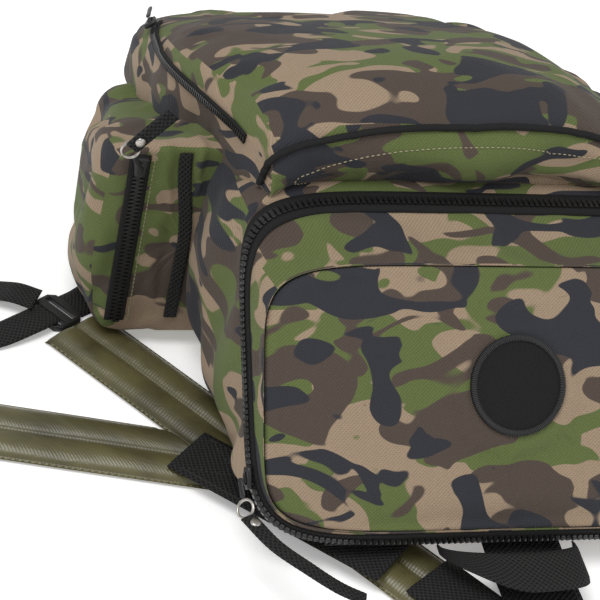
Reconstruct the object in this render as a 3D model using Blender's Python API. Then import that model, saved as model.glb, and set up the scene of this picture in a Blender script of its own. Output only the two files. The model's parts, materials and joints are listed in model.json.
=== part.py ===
"""Camouflage rucksack lying on its back, with its straps spread on the floor.

Metres. X runs across the bag, Y from the bag's top edge to its bottom, Z from the back panel to the
front. In the sketches below t is the distance from the top edge, so Y = t + TOP_Y.
"""

import math

import bmesh
import bpy
from mathutils import Vector
from mathutils.bvhtree import BVHTree

# Clearances
GAP = 0.0003
ZIP_GAP = 0.0005

# Back pad, which the bag lies on
PAD_HALF_WIDTH = 0.098
PAD_TOP = 0.110
PAD_BOTTOM = 0.375
PAD_THICKNESS = 0.011

# Main compartment
BODY_HEIGHT = 0.430
BODY_HALF_TOP = 0.158
BODY_HALF_BOTTOM = 0.166
BODY_FRONT_TOP = 0.166
BODY_FRONT_BOTTOM = 0.116
BODY_WALL = 0.0025
BODY_SQUARENESS = 6.0
MOUTH_RUN = 0.147
MOUTH_BACK_Z = 0.022
MOUTH_FRONT_Z = 0.160
BODY_RING_POINTS = 40
BODY_STATIONS = 7

# Stiffener inside the bottom
BOARD_HALF_WIDTH = 0.120
BOARD_HEIGHT = 0.060
BOARD_THICKNESS = 0.0025

# Main zip, one tape on the body and one on the lid
ZIP_TAPE_WIDTH = 0.0032
ZIP_TAPE_THICKNESS = 0.0030

# Lid
LID_SIDE_SETBACK = 0.004
LID_LENGTH = 0.157
LID_TILT = math.radians(39.1)
LID_BACK_T = -0.004
LID_BACK_Z = 0.032
LID_CROWN = 0.008
LID_FLAT_SHARE = 0.72
LID_WALL = 0.0025
PATCH_RADIUS = 0.030
PATCH_THICKNESS = 0.0016
PATCH_RISE = 0.0075

# Front pocket
FRONT_NEAR = 0.151
FRONT_END_SETBACK = 0.022
FRONT_HALF_NEAR = 0.146
FRONT_HALF_WIDTH = 0.177
FRONT_WIDEN_FROM = 0.145
FRONT_WIDEN_TO = 0.310
FRONT_SLACK = 0.85
FRONT_SLACK_FROM = 0.030
FRONT_SLACK_TO = 0.140
FRONT_DEPTH = 0.052
FRONT_WALL = 0.0025
FRONT_SQUARENESS = 4.5
FRONT_REACH_INTO_BODY = 0.060
PIPING_RADIUS = 0.0022
PIPING_IN = 0.008
PIPING_BACK = 0.010
FRONT_ZIP_WIDTH = 0.007
FRONT_ZIP_THICKNESS = 0.0018
FRONT_ZIP_START = 0.185
FRONT_ZIP_END_SETBACK = 0.033
FRONT_ZIP_RISE = 0.012

# The empty corner at the right of the bag's bottom, which sinks
SINK = 0.30
SINK_ABOVE = 0.030
SINK_X = (0.060, 0.180)
SINK_T = (0.200, 0.350)

# Side pockets
SIDE_TOP = 0.205
SIDE_BOTTOM_SETBACK = 0.053
SIDE_DEPTH = 0.072
SIDE_LOW = 0.009
SIDE_DROP = 0.006
SIDE_FALL = 0.030
SIDE_TAPER = 0.035
SIDE_WALL = 0.0025
SIDE_SQUARENESS = 6.0
SIDE_REACH_INTO_BODY = 0.038
SIDE_ZIP_OUT = 0.048
SIDE_ZIP_WIDTH = 0.009
SIDE_ZIP_THICKNESS = 0.0022
SIDE_ZIP_LOW = 0.024
SIDE_ZIP_MARGIN = 0.008
BINDING_WIDTH = 0.007
BINDING_THICKNESS = 0.0014
BINDING_OUT = 0.008

# Straps
STRAP_WIDTH = 0.050
STRAP_THICKNESS = 0.0080
STRAP_LENGTH = 0.345
HANGER_WIDTH = 0.042
HANGER_THICKNESS = 0.0020
HANGER_OVERLAP = 0.048
HANGER_ROOT_RISE = 0.0026
WEB_WIDTH = 0.025
WEB_THICKNESS = 0.0016
TAIL_WIDTH = 0.022
LOCK_LENGTH = 0.024
LOCK_WIDTH = 0.032
LOCK_THICKNESS = 0.0045
LOCK_SLOT = 0.0045
LEFT_STRAP_END = (-0.472, 0.168)
LEFT_STRAP_AIM = (0.971, -0.239)
RIGHT_STRAP_END = (-0.2270, 0.2230)
RIGHT_STRAP_AIM = (0.590, -0.807)
LEFT_HANGER_START = (-0.1765, 0.0955)
LEFT_HANGER_END = (-0.071, -0.008)
RIGHT_HANGER_X = 0.013
RIGHT_HANGER_ROOT = 0.016
RIGHT_HANGER_REACH = -0.078

# Routes of the strap webbing on the floor, as (x, t)
WEB_STRAIGHT = 0.018
WEB_ROUTE = ((-0.183, 0.284), (-0.165, 0.318), (-0.140, 0.358), (-0.085, 0.394))
TAIL_ROUTE = (
    (-0.284, 0.210),
    (-0.316, 0.207),
    (-0.343, 0.220),
    (-0.346, 0.246),
    (-0.318, 0.262),
    (-0.285, 0.260),
)
TAIL_END = ((-0.264, 0.2505), (-0.2485, 0.2425))
TAIL_LIFT = 0.006
LOOSE_ROUTE = ((-0.171, 0.392), (-0.180, 0.366), (-0.173, 0.334))

# Grab handle
HANDLE_WIDTH = 0.030
HANDLE_THICKNESS = 0.0022
HANDLE_STEPS = 24
HANDLE_HALF_SPAN = 0.043
HANDLE_CENTRE_X = -0.001
HANDLE_RISE = 0.009
HANDLE_PUSH = 0.018
HANDLE_ROOT_Z = 0.0205
HANDLE_ROOT_T = -0.0026
HANDLE_LEAN = math.radians(4)
HANDLE_PIVOT_OUT = 0.0024
HANDLE_PIVOT_DROP = 0.001

# Zip sliders and their pulls
SLIDER_LENGTH = 0.013
SLIDER_WIDTH = 0.0095
SLIDER_THICKNESS = 0.0048
MAIN_SLIDER_RUN = 0.038
LINK_WIDTH = 0.0034
LINK_THICKNESS = 0.0016
FRONT_LINK_LENGTH = 0.022
RING_RADIUS = 0.0055
RING_WIRE = 0.0009
TAB_WIDTH = 0.0100
TAB_THICKNESS = 0.0019
RIVET_RADIUS = 0.0032
RIVET_HEIGHT = 0.0014
MAIN_RING_DROP = (0.0010, -0.0170, -0.0080)
MAIN_TAB_SAG = (
    (0, 0, 0),
    (0.0133, -0.0208, -0.0002),
    (0.0293, -0.0368, -0.0037),
    (0.0453, -0.0478, -0.0097),
    (0.0603, -0.0538, -0.0147),
)
SIDE_RING_OUT = 0.010
SIDE_RING_FORWARD = 0.003
SIDE_RING_RISE = 0.0175
SIDE_TAB_RISE = ((0, 0, 0), (0.009, -0.0010, 0.012), (0.021, -0.0015, 0.026))

# Lower tabs that hold the strap webbing
LOWER_TAB_INSET = 0.006
LOWER_TAB_WIDTH = 0.042
LOWER_TAB_TAPER = 0.008
LOWER_TAB_LENGTH = 0.028
LOWER_TAB_UP = 0.018
LOWER_TAB_TOP = 0.040
WEB_SEWN_IN = 0.012

TOP_Y = -(PAD_TOP + PAD_BOTTOM) / 2
LID_HALF_WIDTH = BODY_HALF_TOP - LID_SIDE_SETBACK
FRONT_FAR = BODY_HEIGHT - FRONT_END_SETBACK
FRONT_ZIP_END = FRONT_FAR - FRONT_ZIP_END_SETBACK
SIDE_LENGTH = BODY_HEIGHT - SIDE_BOTTOM_SETBACK - SIDE_TOP
SEAT = PAD_THICKNESS + GAP
MOUTH_RISE = MOUTH_FRONT_Z - MOUTH_BACK_Z
MOUTH_LENGTH = math.hypot(MOUTH_RUN, MOUTH_RISE)
MOUTH_ALONG = Vector((0, MOUTH_RUN, MOUTH_RISE)) / MOUTH_LENGTH
MOUTH_OUT = Vector((0, -MOUTH_RISE, MOUTH_RUN)) / MOUTH_LENGTH
LID_ALONG = Vector((0, math.sin(LID_TILT), math.cos(LID_TILT)))
LID_OUT = Vector((0, -math.cos(LID_TILT), math.sin(LID_TILT)))
ZIP_BODY_START = GAP
ZIP_LID_START = ZIP_BODY_START + ZIP_TAPE_WIDTH + ZIP_GAP
LID_START = ZIP_LID_START + ZIP_TAPE_WIDTH + GAP
SIDE_OUTER = BODY_HALF_TOP + SIDE_DEPTH
SIDE_INNER = BODY_HALF_TOP - SIDE_REACH_INTO_BODY
SIDE_ZIP_X = BODY_HALF_TOP + SIDE_ZIP_OUT
LOWER_TAB_OUTER = BODY_HALF_BOTTOM - LOWER_TAB_INSET
LOWER_TAB_INNER = LOWER_TAB_OUTER - LOWER_TAB_WIDTH
LOWER_TAB_END = BODY_HEIGHT - LOWER_TAB_UP
LOWER_TAB_START = LOWER_TAB_END - LOWER_TAB_LENGTH
WEB_LEVEL = LOWER_TAB_END - WEB_SEWN_IN

# Finishes
CAMO = ("camouflage_cloth", (0.16, 0.15, 0.09), 0.85, 0.0)
WEBBING = ("black_webbing", (0.02, 0.02, 0.02), 0.80, 0.0)
OLIVE = ("olive_coated_cloth", (0.12, 0.11, 0.05), 0.35, 0.0)
PLASTIC = ("black_plastic", (0.02, 0.02, 0.02), 0.45, 0.0)
STEEL = ("nickel_steel", (0.60, 0.58, 0.55), 0.30, 1.0)
FOAM = ("black_mesh_foam", (0.03, 0.03, 0.03), 0.90, 0.0)


def at(x, t, z):
    """The world point at x, distance t from the top edge, and height z."""
    return Vector((x, TOP_Y + t, z))


def mix(start, end, share):
    return start + (end - start) * share


def ease(share):
    """A smooth rise from 0 to 1."""
    held = min(max(share, 0), 1)
    return held * held * (3 - 2 * held)


def sunk(point):
    """The point after the bag's empty corner has sunk towards the floor."""
    across = ease((point.x - SINK_X[0]) / (SINK_X[1] - SINK_X[0]))
    along = ease((point.y - TOP_Y - SINK_T[0]) / (SINK_T[1] - SINK_T[0]))
    fall = max(0, point.z - SINK_ABOVE) * SINK * across * along
    return Vector((point.x, point.y, point.z - fall))


def material(finish):
    name, colour, roughness, metallic = finish
    found = bpy.data.materials.get(name)
    if found:
        return found
    made = bpy.data.materials.new(name)
    made.use_nodes = True
    shader = made.node_tree.nodes["Principled BSDF"]
    shader.inputs["Base Color"].default_value = (*colour, 1)
    shader.inputs["Roughness"].default_value = roughness
    shader.inputs["Metallic"].default_value = metallic
    return made


def solid(name, points, faces, finish, origin=Vector()):
    """A closed mesh object whose faces point outwards, with its origin at the given point."""
    mesh = bpy.data.meshes.new(name)
    mesh.from_pydata([sunk(point) - origin for point in points], [], faces)
    work = bmesh.new()
    work.from_mesh(mesh)
    bmesh.ops.recalc_face_normals(work, faces=work.faces)
    if work.calc_volume(signed=True) < 0:
        bmesh.ops.reverse_faces(work, faces=work.faces)
    work.to_mesh(mesh)
    work.free()
    mesh.materials.append(material(finish))
    made = bpy.data.objects.new(name, mesh)
    made.location = origin
    bpy.context.scene.collection.objects.link(made)
    return made


def helper(name, points, faces):
    """A cutter: left out of renders, drawn as wire."""
    made = solid(name, points, faces, CAMO)
    made.hide_render = True
    made.display_type = "WIRE"
    return made


def cut(target, cutter):
    modifier = target.modifiers.new(cutter.name, "BOOLEAN")
    modifier.operation = "DIFFERENCE"
    modifier.solver = "EXACT"
    modifier.object = cutter


def superellipse(half_a, half_b, power, count):
    """Points of a rounded rectangle, counter-clockwise from +a."""
    points = []
    for step in range(count):
        angle = 2 * math.pi * (step + 0.5) / count
        c, s = math.cos(angle), math.sin(angle)
        a = half_a * math.copysign(abs(c) ** (2 / power), c)
        b = half_b * math.copysign(abs(s) ** (2 / power), s)
        points.append((a, b))
    return points


def walls(rings, first=0):
    """Quads between following rings of equal length, with point numbers from first."""
    count = len(rings[0])
    faces = []
    for level in range(len(rings) - 1):
        low = first + level * count
        for k in range(count):
            after = (k + 1) % count
            faces.append((low + k, low + after, low + count + after, low + count + k))
    return faces


def loft(rings):
    """Points and faces of a solid through the rings, capped at both ends."""
    count = len(rings[0])
    points = [point for ring in rings for point in ring]
    last = len(points) - count
    faces = walls(rings)
    faces.append(tuple(reversed(range(count))))
    faces.append(tuple(range(last, last + count)))
    return points, faces


def tray(outer, inner):
    """Points and faces of a wall between two lofts that is open at their first rings."""
    count = len(outer[0])
    points = [point for ring in outer + inner for point in ring]
    start = len(outer) * count
    faces = walls(outer) + walls(inner, start)
    for k in range(count):
        after = (k + 1) % count
        faces.append((k, after, start + after, start + k))
    faces.append(tuple(range(start - count, start)))
    faces.append(tuple(range(len(points) - count, len(points))))
    return points, faces


def sweep(path, normals, profile):
    """Points and faces of a profile of (side, normal) pairs carried along a path."""
    rings = []
    for k, point in enumerate(path):
        before = path[max(k - 1, 0)]
        after = path[min(k + 1, len(path) - 1)]
        tangent = (after - before).normalized()
        normal = (normals[k] - tangent * normals[k].dot(tangent)).normalized()
        side = tangent.cross(normal)
        rings.append([point + side * a + normal * b for a, b in profile])
    return loft(rings)


def strip_profile(width, thickness):
    """A flat webbing's cross-section, with its edges chamfered."""
    a, b = width / 2, thickness / 2
    edge = thickness * 0.3
    return [
        (a, -b + edge),
        (a, b - edge),
        (a - edge, b),
        (edge - a, b),
        (-a, b - edge),
        (-a, edge - b),
        (edge - a, -b),
        (a - edge, -b),
    ]


def round_profile(radius, sides):
    return [
        (radius * math.cos(2 * math.pi * k / sides), radius * math.sin(2 * math.pi * k / sides))
        for k in range(sides)
    ]


def strip(name, path, normals, width, thickness, finish, origin=Vector()):
    """A flat webbing along a path, lying square to the normals."""
    points, faces = sweep(path, normals, strip_profile(width, thickness))
    return solid(name, points, faces, finish, origin)


def smooth_path(corners, step):
    """Points about a step apart on a smooth curve through the corners."""
    ends = [2 * corners[0] - corners[1], *corners, 2 * corners[-1] - corners[-2]]
    path = []
    for k in range(1, len(ends) - 2):
        a, b, c, d = ends[k - 1 : k + 3]
        count = max(2, round((c - b).length / step))
        for j in range(count):
            u = j / count
            path.append(
                0.5
                * (2 * b + (c - a) * u + (2 * a - 5 * b + 4 * c - d) * u**2 + (3 * b - a - 3 * c + d) * u**3)
            )
    path.append(corners[-1])
    return path


def turned(name, centre, axis, radius, height, finish, sides=20, origin=Vector()):
    """A disc with a chamfered rim, from its foot at the centre along the axis."""
    turn = axis.to_track_quat("Z", "Y").to_matrix()
    chamfer = height * 0.35
    rings = []
    for r, h in ((radius, 0), (radius, height - chamfer), (radius - chamfer, height)):
        rings.append([centre + turn @ Vector((a, b, h)) for a, b in round_profile(r, sides)])
    points, faces = loft(rings)
    return solid(name, points, faces, finish, origin)


def block(name, centre, axes, sizes, finish, origin=Vector()):
    """A box with chamfered long edges: axes are its length, width and height directions."""
    along, across, up = axes
    length, width, height = sizes
    edge = min(width, height) * 0.2
    a, b = width / 2, height / 2
    outline = [
        (a, edge - b),
        (a, b - edge),
        (a - edge, b),
        (edge - a, b),
        (-a, b - edge),
        (-a, edge - b),
        (edge - a, -b),
        (a - edge, -b),
    ]
    rings = []
    for shift, share in ((-0.5, 0.75), (-0.32, 1.0), (0.32, 1.0), (0.5, 0.75)):
        foot = centre + along * (length * shift)
        rings.append([foot + across * (p * share) + up * q for p, q in outline])
    points, faces = loft(rings)
    return solid(name, points, faces, finish, origin)


# Main compartment


def body_stations():
    """Back and front (t, z) and the half width of each ring of the main compartment."""
    stations = [
        ((0, MOUTH_BACK_Z), (MOUTH_RUN, MOUTH_FRONT_Z), BODY_HALF_TOP),
        ((0.020, SEAT + 0.002), (MOUTH_RUN + 0.016, BODY_FRONT_TOP), BODY_HALF_TOP + 0.001),
    ]
    for step in range(BODY_STATIONS):
        u = step / (BODY_STATIONS - 1)
        back = (mix(0.055, BODY_HEIGHT - 0.014, u), SEAT)
        front = (
            mix(MOUTH_RUN + 0.052, BODY_HEIGHT - 0.008, u),
            mix(BODY_FRONT_TOP, BODY_FRONT_BOTTOM, u**1.25),
        )
        stations.append((back, front, mix(BODY_HALF_TOP + 0.003, BODY_HALF_BOTTOM, u)))
    stations.append(
        (
            (BODY_HEIGHT, SEAT + 0.016),
            (BODY_HEIGHT, BODY_FRONT_BOTTOM - 0.014),
            BODY_HALF_BOTTOM - 0.018,
        )
    )
    return stations


def body_ring(station, grow, shift=0.0):
    """One ring of the main compartment, grown outwards in its own plane and shifted along Y."""
    (back_t, back_z), (front_t, front_z), half = station
    back, front = at(0, back_t + shift, back_z), at(0, front_t + shift, front_z)
    centre, reach = (back + front) / 2, front - back
    along = reach.normalized()
    outline = superellipse(half + grow, reach.length / 2 + grow, BODY_SQUARENESS, BODY_RING_POINTS)
    return [centre + Vector((a, 0, 0)) + along * b for a, b in outline]


def body_rings(grow, end_shift=0.0):
    stations = body_stations()
    rings = [body_ring(station, grow) for station in stations[:-1]]
    rings.append(body_ring(stations[-1], grow, end_shift))
    return rings


def front_height(t):
    """Height of the main compartment's front panel on the centre line."""
    line = [front for _, front, _ in body_stations()]
    for (t0, z0), (t1, z1) in zip(line, line[1:]):
        if t0 <= t <= t1:
            return mix(z0, z1, (t - t0) / (t1 - t0))
    return line[-1][1]


def main_compartment():
    points, faces = tray(body_rings(0), body_rings(-BODY_WALL, -BODY_WALL))
    solid("main_shell", points, faces, CAMO)
    outline = superellipse(
        PAD_HALF_WIDTH, (PAD_BOTTOM - PAD_TOP) / 2, BODY_SQUARENESS, BODY_RING_POINTS
    )
    rings = [[Vector((x, y, z)) for x, y in outline] for z in (0, PAD_THICKNESS)]
    solid("back_pad", *loft(rings), FOAM)
    board_end = BODY_HEIGHT - BODY_WALL - GAP
    middle = (SEAT + BODY_FRONT_BOTTOM) / 2
    outline = superellipse(BOARD_HALF_WIDTH, BOARD_HEIGHT / 2, BODY_SQUARENESS, 24)
    rings = [[at(x, t, middle + z) for x, z in outline] for t in (board_end - BOARD_THICKNESS, board_end)]
    solid("base_board", *loft(rings), PLASTIC)


def body_cutter():
    """The main compartment filled in and grown by the sewing gap, to trim what is sewn on it."""
    return helper("body_clearance", *loft(body_rings(GAP, GAP)))


# Lid and main zip


def mouth_ring(out, grow):
    """A ring in the mouth's plane, moved outwards from the mouth and grown."""
    ring = body_ring(body_stations()[0], grow)
    return [point + MOUTH_OUT * out for point in ring]


def mouth_half_width(run):
    """Half the mouth's width at a distance from its back edge along its slope."""
    share = abs(2 * run / MOUTH_LENGTH - 1)
    return BODY_HALF_TOP * (1 - share**BODY_SQUARENESS) ** (1 / BODY_SQUARENESS)


def zip_tape(name, start, origin=Vector()):
    outer = [mouth_ring(start, 0), mouth_ring(start + ZIP_TAPE_WIDTH, 0)]
    inner = [mouth_ring(start, -ZIP_TAPE_THICKNESS), mouth_ring(start + ZIP_TAPE_WIDTH, -ZIP_TAPE_THICKNESS)]
    rings = [*outer, *reversed(inner)]
    count = len(outer[0])
    points = [point for ring in rings for point in ring]
    faces = walls(rings)
    last = len(points) - count
    for k in range(count):
        after = (k + 1) % count
        faces.append((last + k, last + after, after, k))
    return solid(name, points, faces, WEBBING, origin)


def lid_ring(share, out, grow):
    centre = at(0, LID_BACK_T, LID_BACK_Z) + LID_ALONG * (LID_LENGTH / 2) + LID_OUT * out
    outline = superellipse(
        LID_HALF_WIDTH * share + grow, LID_LENGTH / 2 * share + grow, BODY_SQUARENESS, BODY_RING_POINTS
    )
    return [centre + Vector((a, 0, 0)) + LID_ALONG * b for a, b in outline]


def lid_axis():
    """A point of the line that the lid turns about, along the mouth's back edge."""
    back = at(0, 0, MOUTH_BACK_Z)
    return back + MOUTH_OUT * (ZIP_BODY_START + ZIP_TAPE_WIDTH + ZIP_GAP / 2) - MOUTH_ALONG * 0.0015


def lid():
    axis = lid_axis()
    outer = [
        mouth_ring(LID_START, 0),
        lid_ring(1, 0, 0),
        lid_ring((1 + LID_FLAT_SHARE) / 2, LID_CROWN * 0.72, 0),
        lid_ring(LID_FLAT_SHARE, LID_CROWN, 0),
    ]
    inner = [
        mouth_ring(LID_START, -LID_WALL),
        lid_ring(1, -LID_WALL, -LID_WALL),
        lid_ring((1 + LID_FLAT_SHARE) / 2, LID_CROWN * 0.72 - LID_WALL, 0),
        lid_ring(LID_FLAT_SHARE, LID_CROWN - LID_WALL, 0),
    ]
    solid("lid_shell", *tray(outer, inner), CAMO, axis)
    zip_tape("main_zip_lid_tape", ZIP_LID_START, axis)
    zip_tape("main_zip_body_tape", ZIP_BODY_START)
    centre = at(0, LID_BACK_T, LID_BACK_Z) + LID_ALONG * (LID_LENGTH / 2 + PATCH_RISE)
    foot = centre + LID_OUT * (LID_CROWN + GAP)
    turned("lid_patch", foot, LID_OUT, PATCH_RADIUS, PATCH_THICKNESS, WEBBING, 32, axis)
    hinge = at(0, 0, MOUTH_BACK_Z) + MOUTH_OUT * (ZIP_BODY_START + ZIP_TAPE_WIDTH / 2)
    reach = BODY_HALF_TOP * 0.72
    strip_foot = hinge - MOUTH_ALONG * (GAP + 0.0008)
    path = [strip_foot + Vector((x, 0, 0)) for x in (-reach, 0, reach)]
    strip("lid_hinge_strip", path, [MOUTH_ALONG] * 3, ZIP_TAPE_WIDTH, 0.0016, WEBBING)


# Front pocket


def front_profile(u):
    """Share of the pocket's depth at share u of its length: a steep near wall, then a long fall."""
    if u < 0.2:
        return 0.42 + 0.58 * math.sqrt(1 - (1 - u / 0.2) ** 2)
    return 1 - 0.72 * ((u - 0.2) / 0.8) ** 1.5


def front_half(t):
    """Half the pocket's width at t: it swells over the bag's sides towards the bottom."""
    widening = ease((t - FRONT_WIDEN_FROM) / (FRONT_WIDEN_TO - FRONT_WIDEN_FROM))
    return mix(FRONT_HALF_NEAR, FRONT_HALF_WIDTH, widening)


def front_slack(x):
    """Share of the pocket's height that is left at x, where it hangs empty on the right."""
    return 1 - FRONT_SLACK * ease((x - FRONT_SLACK_FROM) / (FRONT_SLACK_TO - FRONT_SLACK_FROM))


def front_rings(shrink):
    shares = (0, 0.02, 0.06, 0.12, 0.2, 0.32, 0.46, 0.6, 0.74, 0.87, 0.96, 1)
    rings = []
    for u in shares:
        t = mix(FRONT_NEAR + shrink, FRONT_FAR - shrink, u)
        base = front_height(t) - shrink
        top = base + FRONT_DEPTH * front_profile(u)
        low = front_height(t) - FRONT_REACH_INTO_BODY - abs(shrink)
        edge = 0.007 * (2 * abs(u - 0.5)) ** 6
        half = front_half(t) - edge - shrink
        outline = superellipse(half, (top - low) / 2, FRONT_SQUARENESS, BODY_RING_POINTS)
        ring = []
        for x, rise in outline:
            over = (top + low) / 2 + rise - base
            ring.append(at(x, t, base + over * (front_slack(x) if over > 0 else 1)))
        rings.append(ring)
    return rings


def front_pocket(trimmer):
    points, faces = loft(front_rings(0))
    shell = solid("front_pocket_shell", points, faces, CAMO)
    surface = BVHTree.FromPolygons(points, faces)
    inside = helper("front_pocket_inside", *loft(front_rings(FRONT_WALL)))
    cut(shell, inside)
    cut(shell, trimmer)
    slope = Vector((0, 1, -1)).normalized()
    path, normals = [], []
    for step in range(31):
        x = mix(-1, 1, step / 30) * (FRONT_HALF_NEAR - PIPING_IN)
        start = at(x, FRONT_NEAR + PIPING_BACK, front_height(FRONT_NEAR) + FRONT_DEPTH) - slope * BODY_HEIGHT
        hit, normal, _, _ = surface.ray_cast(start, slope)
        out = -normal if normal.dot(slope) > 0 else normal
        path.append(hit + out * (PIPING_RADIUS + 3 * GAP))
        normals.append(out)
    solid("front_pocket_piping", *sweep(path, normals, round_profile(PIPING_RADIUS, 8)), WEBBING)
    path, normals = [], []
    for step in range(17):
        t = mix(FRONT_ZIP_START, FRONT_ZIP_END, step / 16)
        start = at(-1, t, front_height(t) + FRONT_ZIP_RISE)
        hit, normal, _, _ = surface.ray_cast(start, Vector((1, 0, 0)))
        out = -normal if normal.x > 0 else normal
        path.append(hit + out * (FRONT_ZIP_THICKNESS / 2 + 3 * GAP))
        normals.append(out)
    strip("front_pocket_zip", path, normals, FRONT_ZIP_WIDTH, FRONT_ZIP_THICKNESS, WEBBING)
    return path, normals


# Side pockets


def side_high(t):
    """Height of a side pocket's front edge, which falls towards the bag's bottom."""
    share = max(0, (t - SIDE_TOP) / SIDE_LENGTH)
    return front_height(t) - SIDE_DROP - SIDE_FALL * share**1.5


def side_rings(sign, shrink):
    stations = ((0, 0.011), (0.006, 0.003), (0.030, 0), (-0.080, 0), (-0.030, 0), (-0.008, 0.004), (0, 0.014))
    rings = []
    for k, (shift, inset) in enumerate(stations):
        end = SIDE_TOP + shrink if k < 3 else SIDE_TOP + SIDE_LENGTH - shrink
        taper = SIDE_TAPER * max(0, (end + shift - SIDE_TOP) / SIDE_LENGTH) ** 1.5
        outer = SIDE_OUTER - taper - inset - shrink
        low = SIDE_LOW + inset * 0.5 + shrink
        high = side_high(end + shift) - inset * 0.5 - shrink
        outline = superellipse((outer - SIDE_INNER) / 2, (high - low) / 2, SIDE_SQUARENESS, BODY_RING_POINTS)
        middle = (outer + SIDE_INNER) / 2
        rings.append([at(sign * (middle + x), end + shift, (high + low) / 2 + z) for x, z in outline])
    return rings


def side_zip_high():
    return side_high(SIDE_TOP) - SIDE_ZIP_MARGIN


def side_pocket(side, sign, trimmers):
    shell = solid(f"side_pocket_shell_{side}", *loft(side_rings(sign, 0)), CAMO)
    cut(shell, helper(f"side_pocket_inside_{side}", *loft(side_rings(sign, SIDE_WALL))))
    for trimmer in trimmers:
        cut(shell, trimmer)
    face = SIDE_TOP - GAP
    up = Vector((0, -1, 0))
    chain = [
        at(sign * SIDE_ZIP_X, face - SIDE_ZIP_THICKNESS / 2, z)
        for z in (SIDE_ZIP_LOW, (SIDE_ZIP_LOW + side_zip_high()) / 2, side_zip_high())
    ]
    strip(f"side_pocket_zip_{side}", chain, [up] * 3, SIDE_ZIP_WIDTH, SIDE_ZIP_THICKNESS, WEBBING)
    seam = BODY_HALF_TOP + BINDING_OUT + BINDING_WIDTH / 2
    low, high = SIDE_ZIP_LOW + 0.002, side_zip_high() - 0.006
    edge = [at(sign * seam, face - BINDING_THICKNESS / 2, z) for z in (low, (low + high) / 2, high)]
    strip(f"side_pocket_binding_{side}", edge, [up] * 3, BINDING_WIDTH, BINDING_THICKNESS, WEBBING)


# Zip sliders and pulls


def slider(name, centre, along, out, origin):
    sizes = (SLIDER_LENGTH, SLIDER_WIDTH, SLIDER_THICKNESS)
    return block(name, centre, (along, along.cross(out), out), sizes, PLASTIC, origin)


def ring_wire(name, centre, axis, finish, origin):
    """A closed ring of round wire."""
    turn = axis.to_track_quat("Z", "Y").to_matrix()
    sides, steps = 8, 20
    points, faces = [], []
    for k in range(steps):
        angle = 2 * math.pi * k / steps
        for a, b in round_profile(RING_WIRE, sides):
            flat = Vector(((RING_RADIUS + a) * math.cos(angle), (RING_RADIUS + a) * math.sin(angle), b))
            points.append(centre + turn @ flat)
    for k in range(steps):
        for j in range(sides):
            after, beside = (k + 1) % steps, (j + 1) % sides
            faces.append((k * sides + j, after * sides + j, after * sides + beside, k * sides + beside))
    return solid(name, points, faces, finish, origin)


def pull(prefix, pivot, ring_centre, ring_axis, tab_path, tab_normal):
    """A link from the slider to a wire ring, and a webbing tab with a rivet that hangs on the ring."""
    down = (ring_centre - pivot).normalized()
    link_end = ring_centre - down * (RING_RADIUS + RING_WIRE + GAP)
    length = (link_end - pivot).length
    across = down.cross(ring_axis).normalized()
    block(
        f"{prefix}_pull_link",
        (pivot + link_end) / 2,
        (down, ring_axis, across),
        (length, LINK_THICKNESS, LINK_WIDTH),
        PLASTIC,
        pivot,
    )
    ring_wire(f"{prefix}_pull_ring", ring_centre, ring_axis, STEEL, pivot)
    normals = [tab_normal] * len(tab_path)
    strip(f"{prefix}_pull_tab", tab_path, normals, TAB_WIDTH, TAB_THICKNESS, WEBBING, pivot)
    aim = (tab_path[1] - tab_path[0]).normalized()
    normal = (tab_normal - aim * tab_normal.dot(aim)).normalized()
    foot = tab_path[0] + aim * (RIVET_RADIUS * 2.2) + normal * (TAB_THICKNESS / 2 + GAP)
    turned(f"{prefix}_pull_rivet", foot, normal, RIVET_RADIUS, RIVET_HEIGHT, STEEL, 16, pivot)


def main_slider():
    outside = Vector((-1, 0, 0))
    half = mouth_half_width(MAIN_SLIDER_RUN + SLIDER_LENGTH / 2)
    middle = at(-half, 0, MOUTH_BACK_Z) + MOUTH_ALONG * MAIN_SLIDER_RUN
    middle += MOUTH_OUT * (ZIP_BODY_START + ZIP_TAPE_WIDTH + ZIP_GAP / 2)
    centre = middle + outside * (2 * GAP + SLIDER_THICKNESS / 2)
    slider("main_slider", centre, MOUTH_ALONG, outside, centre)
    pivot = centre + outside * (SLIDER_THICKNESS / 2 + 3 * GAP + LINK_THICKNESS / 2)
    ring_centre = pivot + Vector(MAIN_RING_DROP)
    hang = ring_centre - Vector((0, RING_RADIUS + RING_WIRE + GAP, 0))
    path = smooth_path([hang + Vector(step) for step in MAIN_TAB_SAG], 0.006)
    pull("main", pivot, ring_centre, Vector((1, 0, 0)), path, Vector((0, 0, 1)))


def side_slider(side, sign):
    out = Vector((0, -1, 0))
    face = SIDE_TOP - GAP - SIDE_ZIP_THICKNESS - GAP
    centre = at(sign * SIDE_ZIP_X, face - SLIDER_THICKNESS / 2, side_zip_high() - SLIDER_LENGTH / 2)
    slider(f"side_slider_{side}", centre, Vector((0, 0, 1)), out, centre)
    pivot = centre + out * (SLIDER_THICKNESS / 2 + GAP + LINK_THICKNESS / 2)
    ring_centre = pivot + Vector((sign * SIDE_RING_OUT, -SIDE_RING_FORWARD, SIDE_RING_RISE))
    hang = ring_centre + Vector((0, -RING_WIRE - GAP - TAB_THICKNESS / 2, RING_RADIUS / 2))
    path = smooth_path([hang + Vector((-sign * x, y, z)) for x, y, z in SIDE_TAB_RISE], 0.006)
    pull(f"side_{side}", pivot, ring_centre, Vector((0, 1, 0)), path, out)


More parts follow.
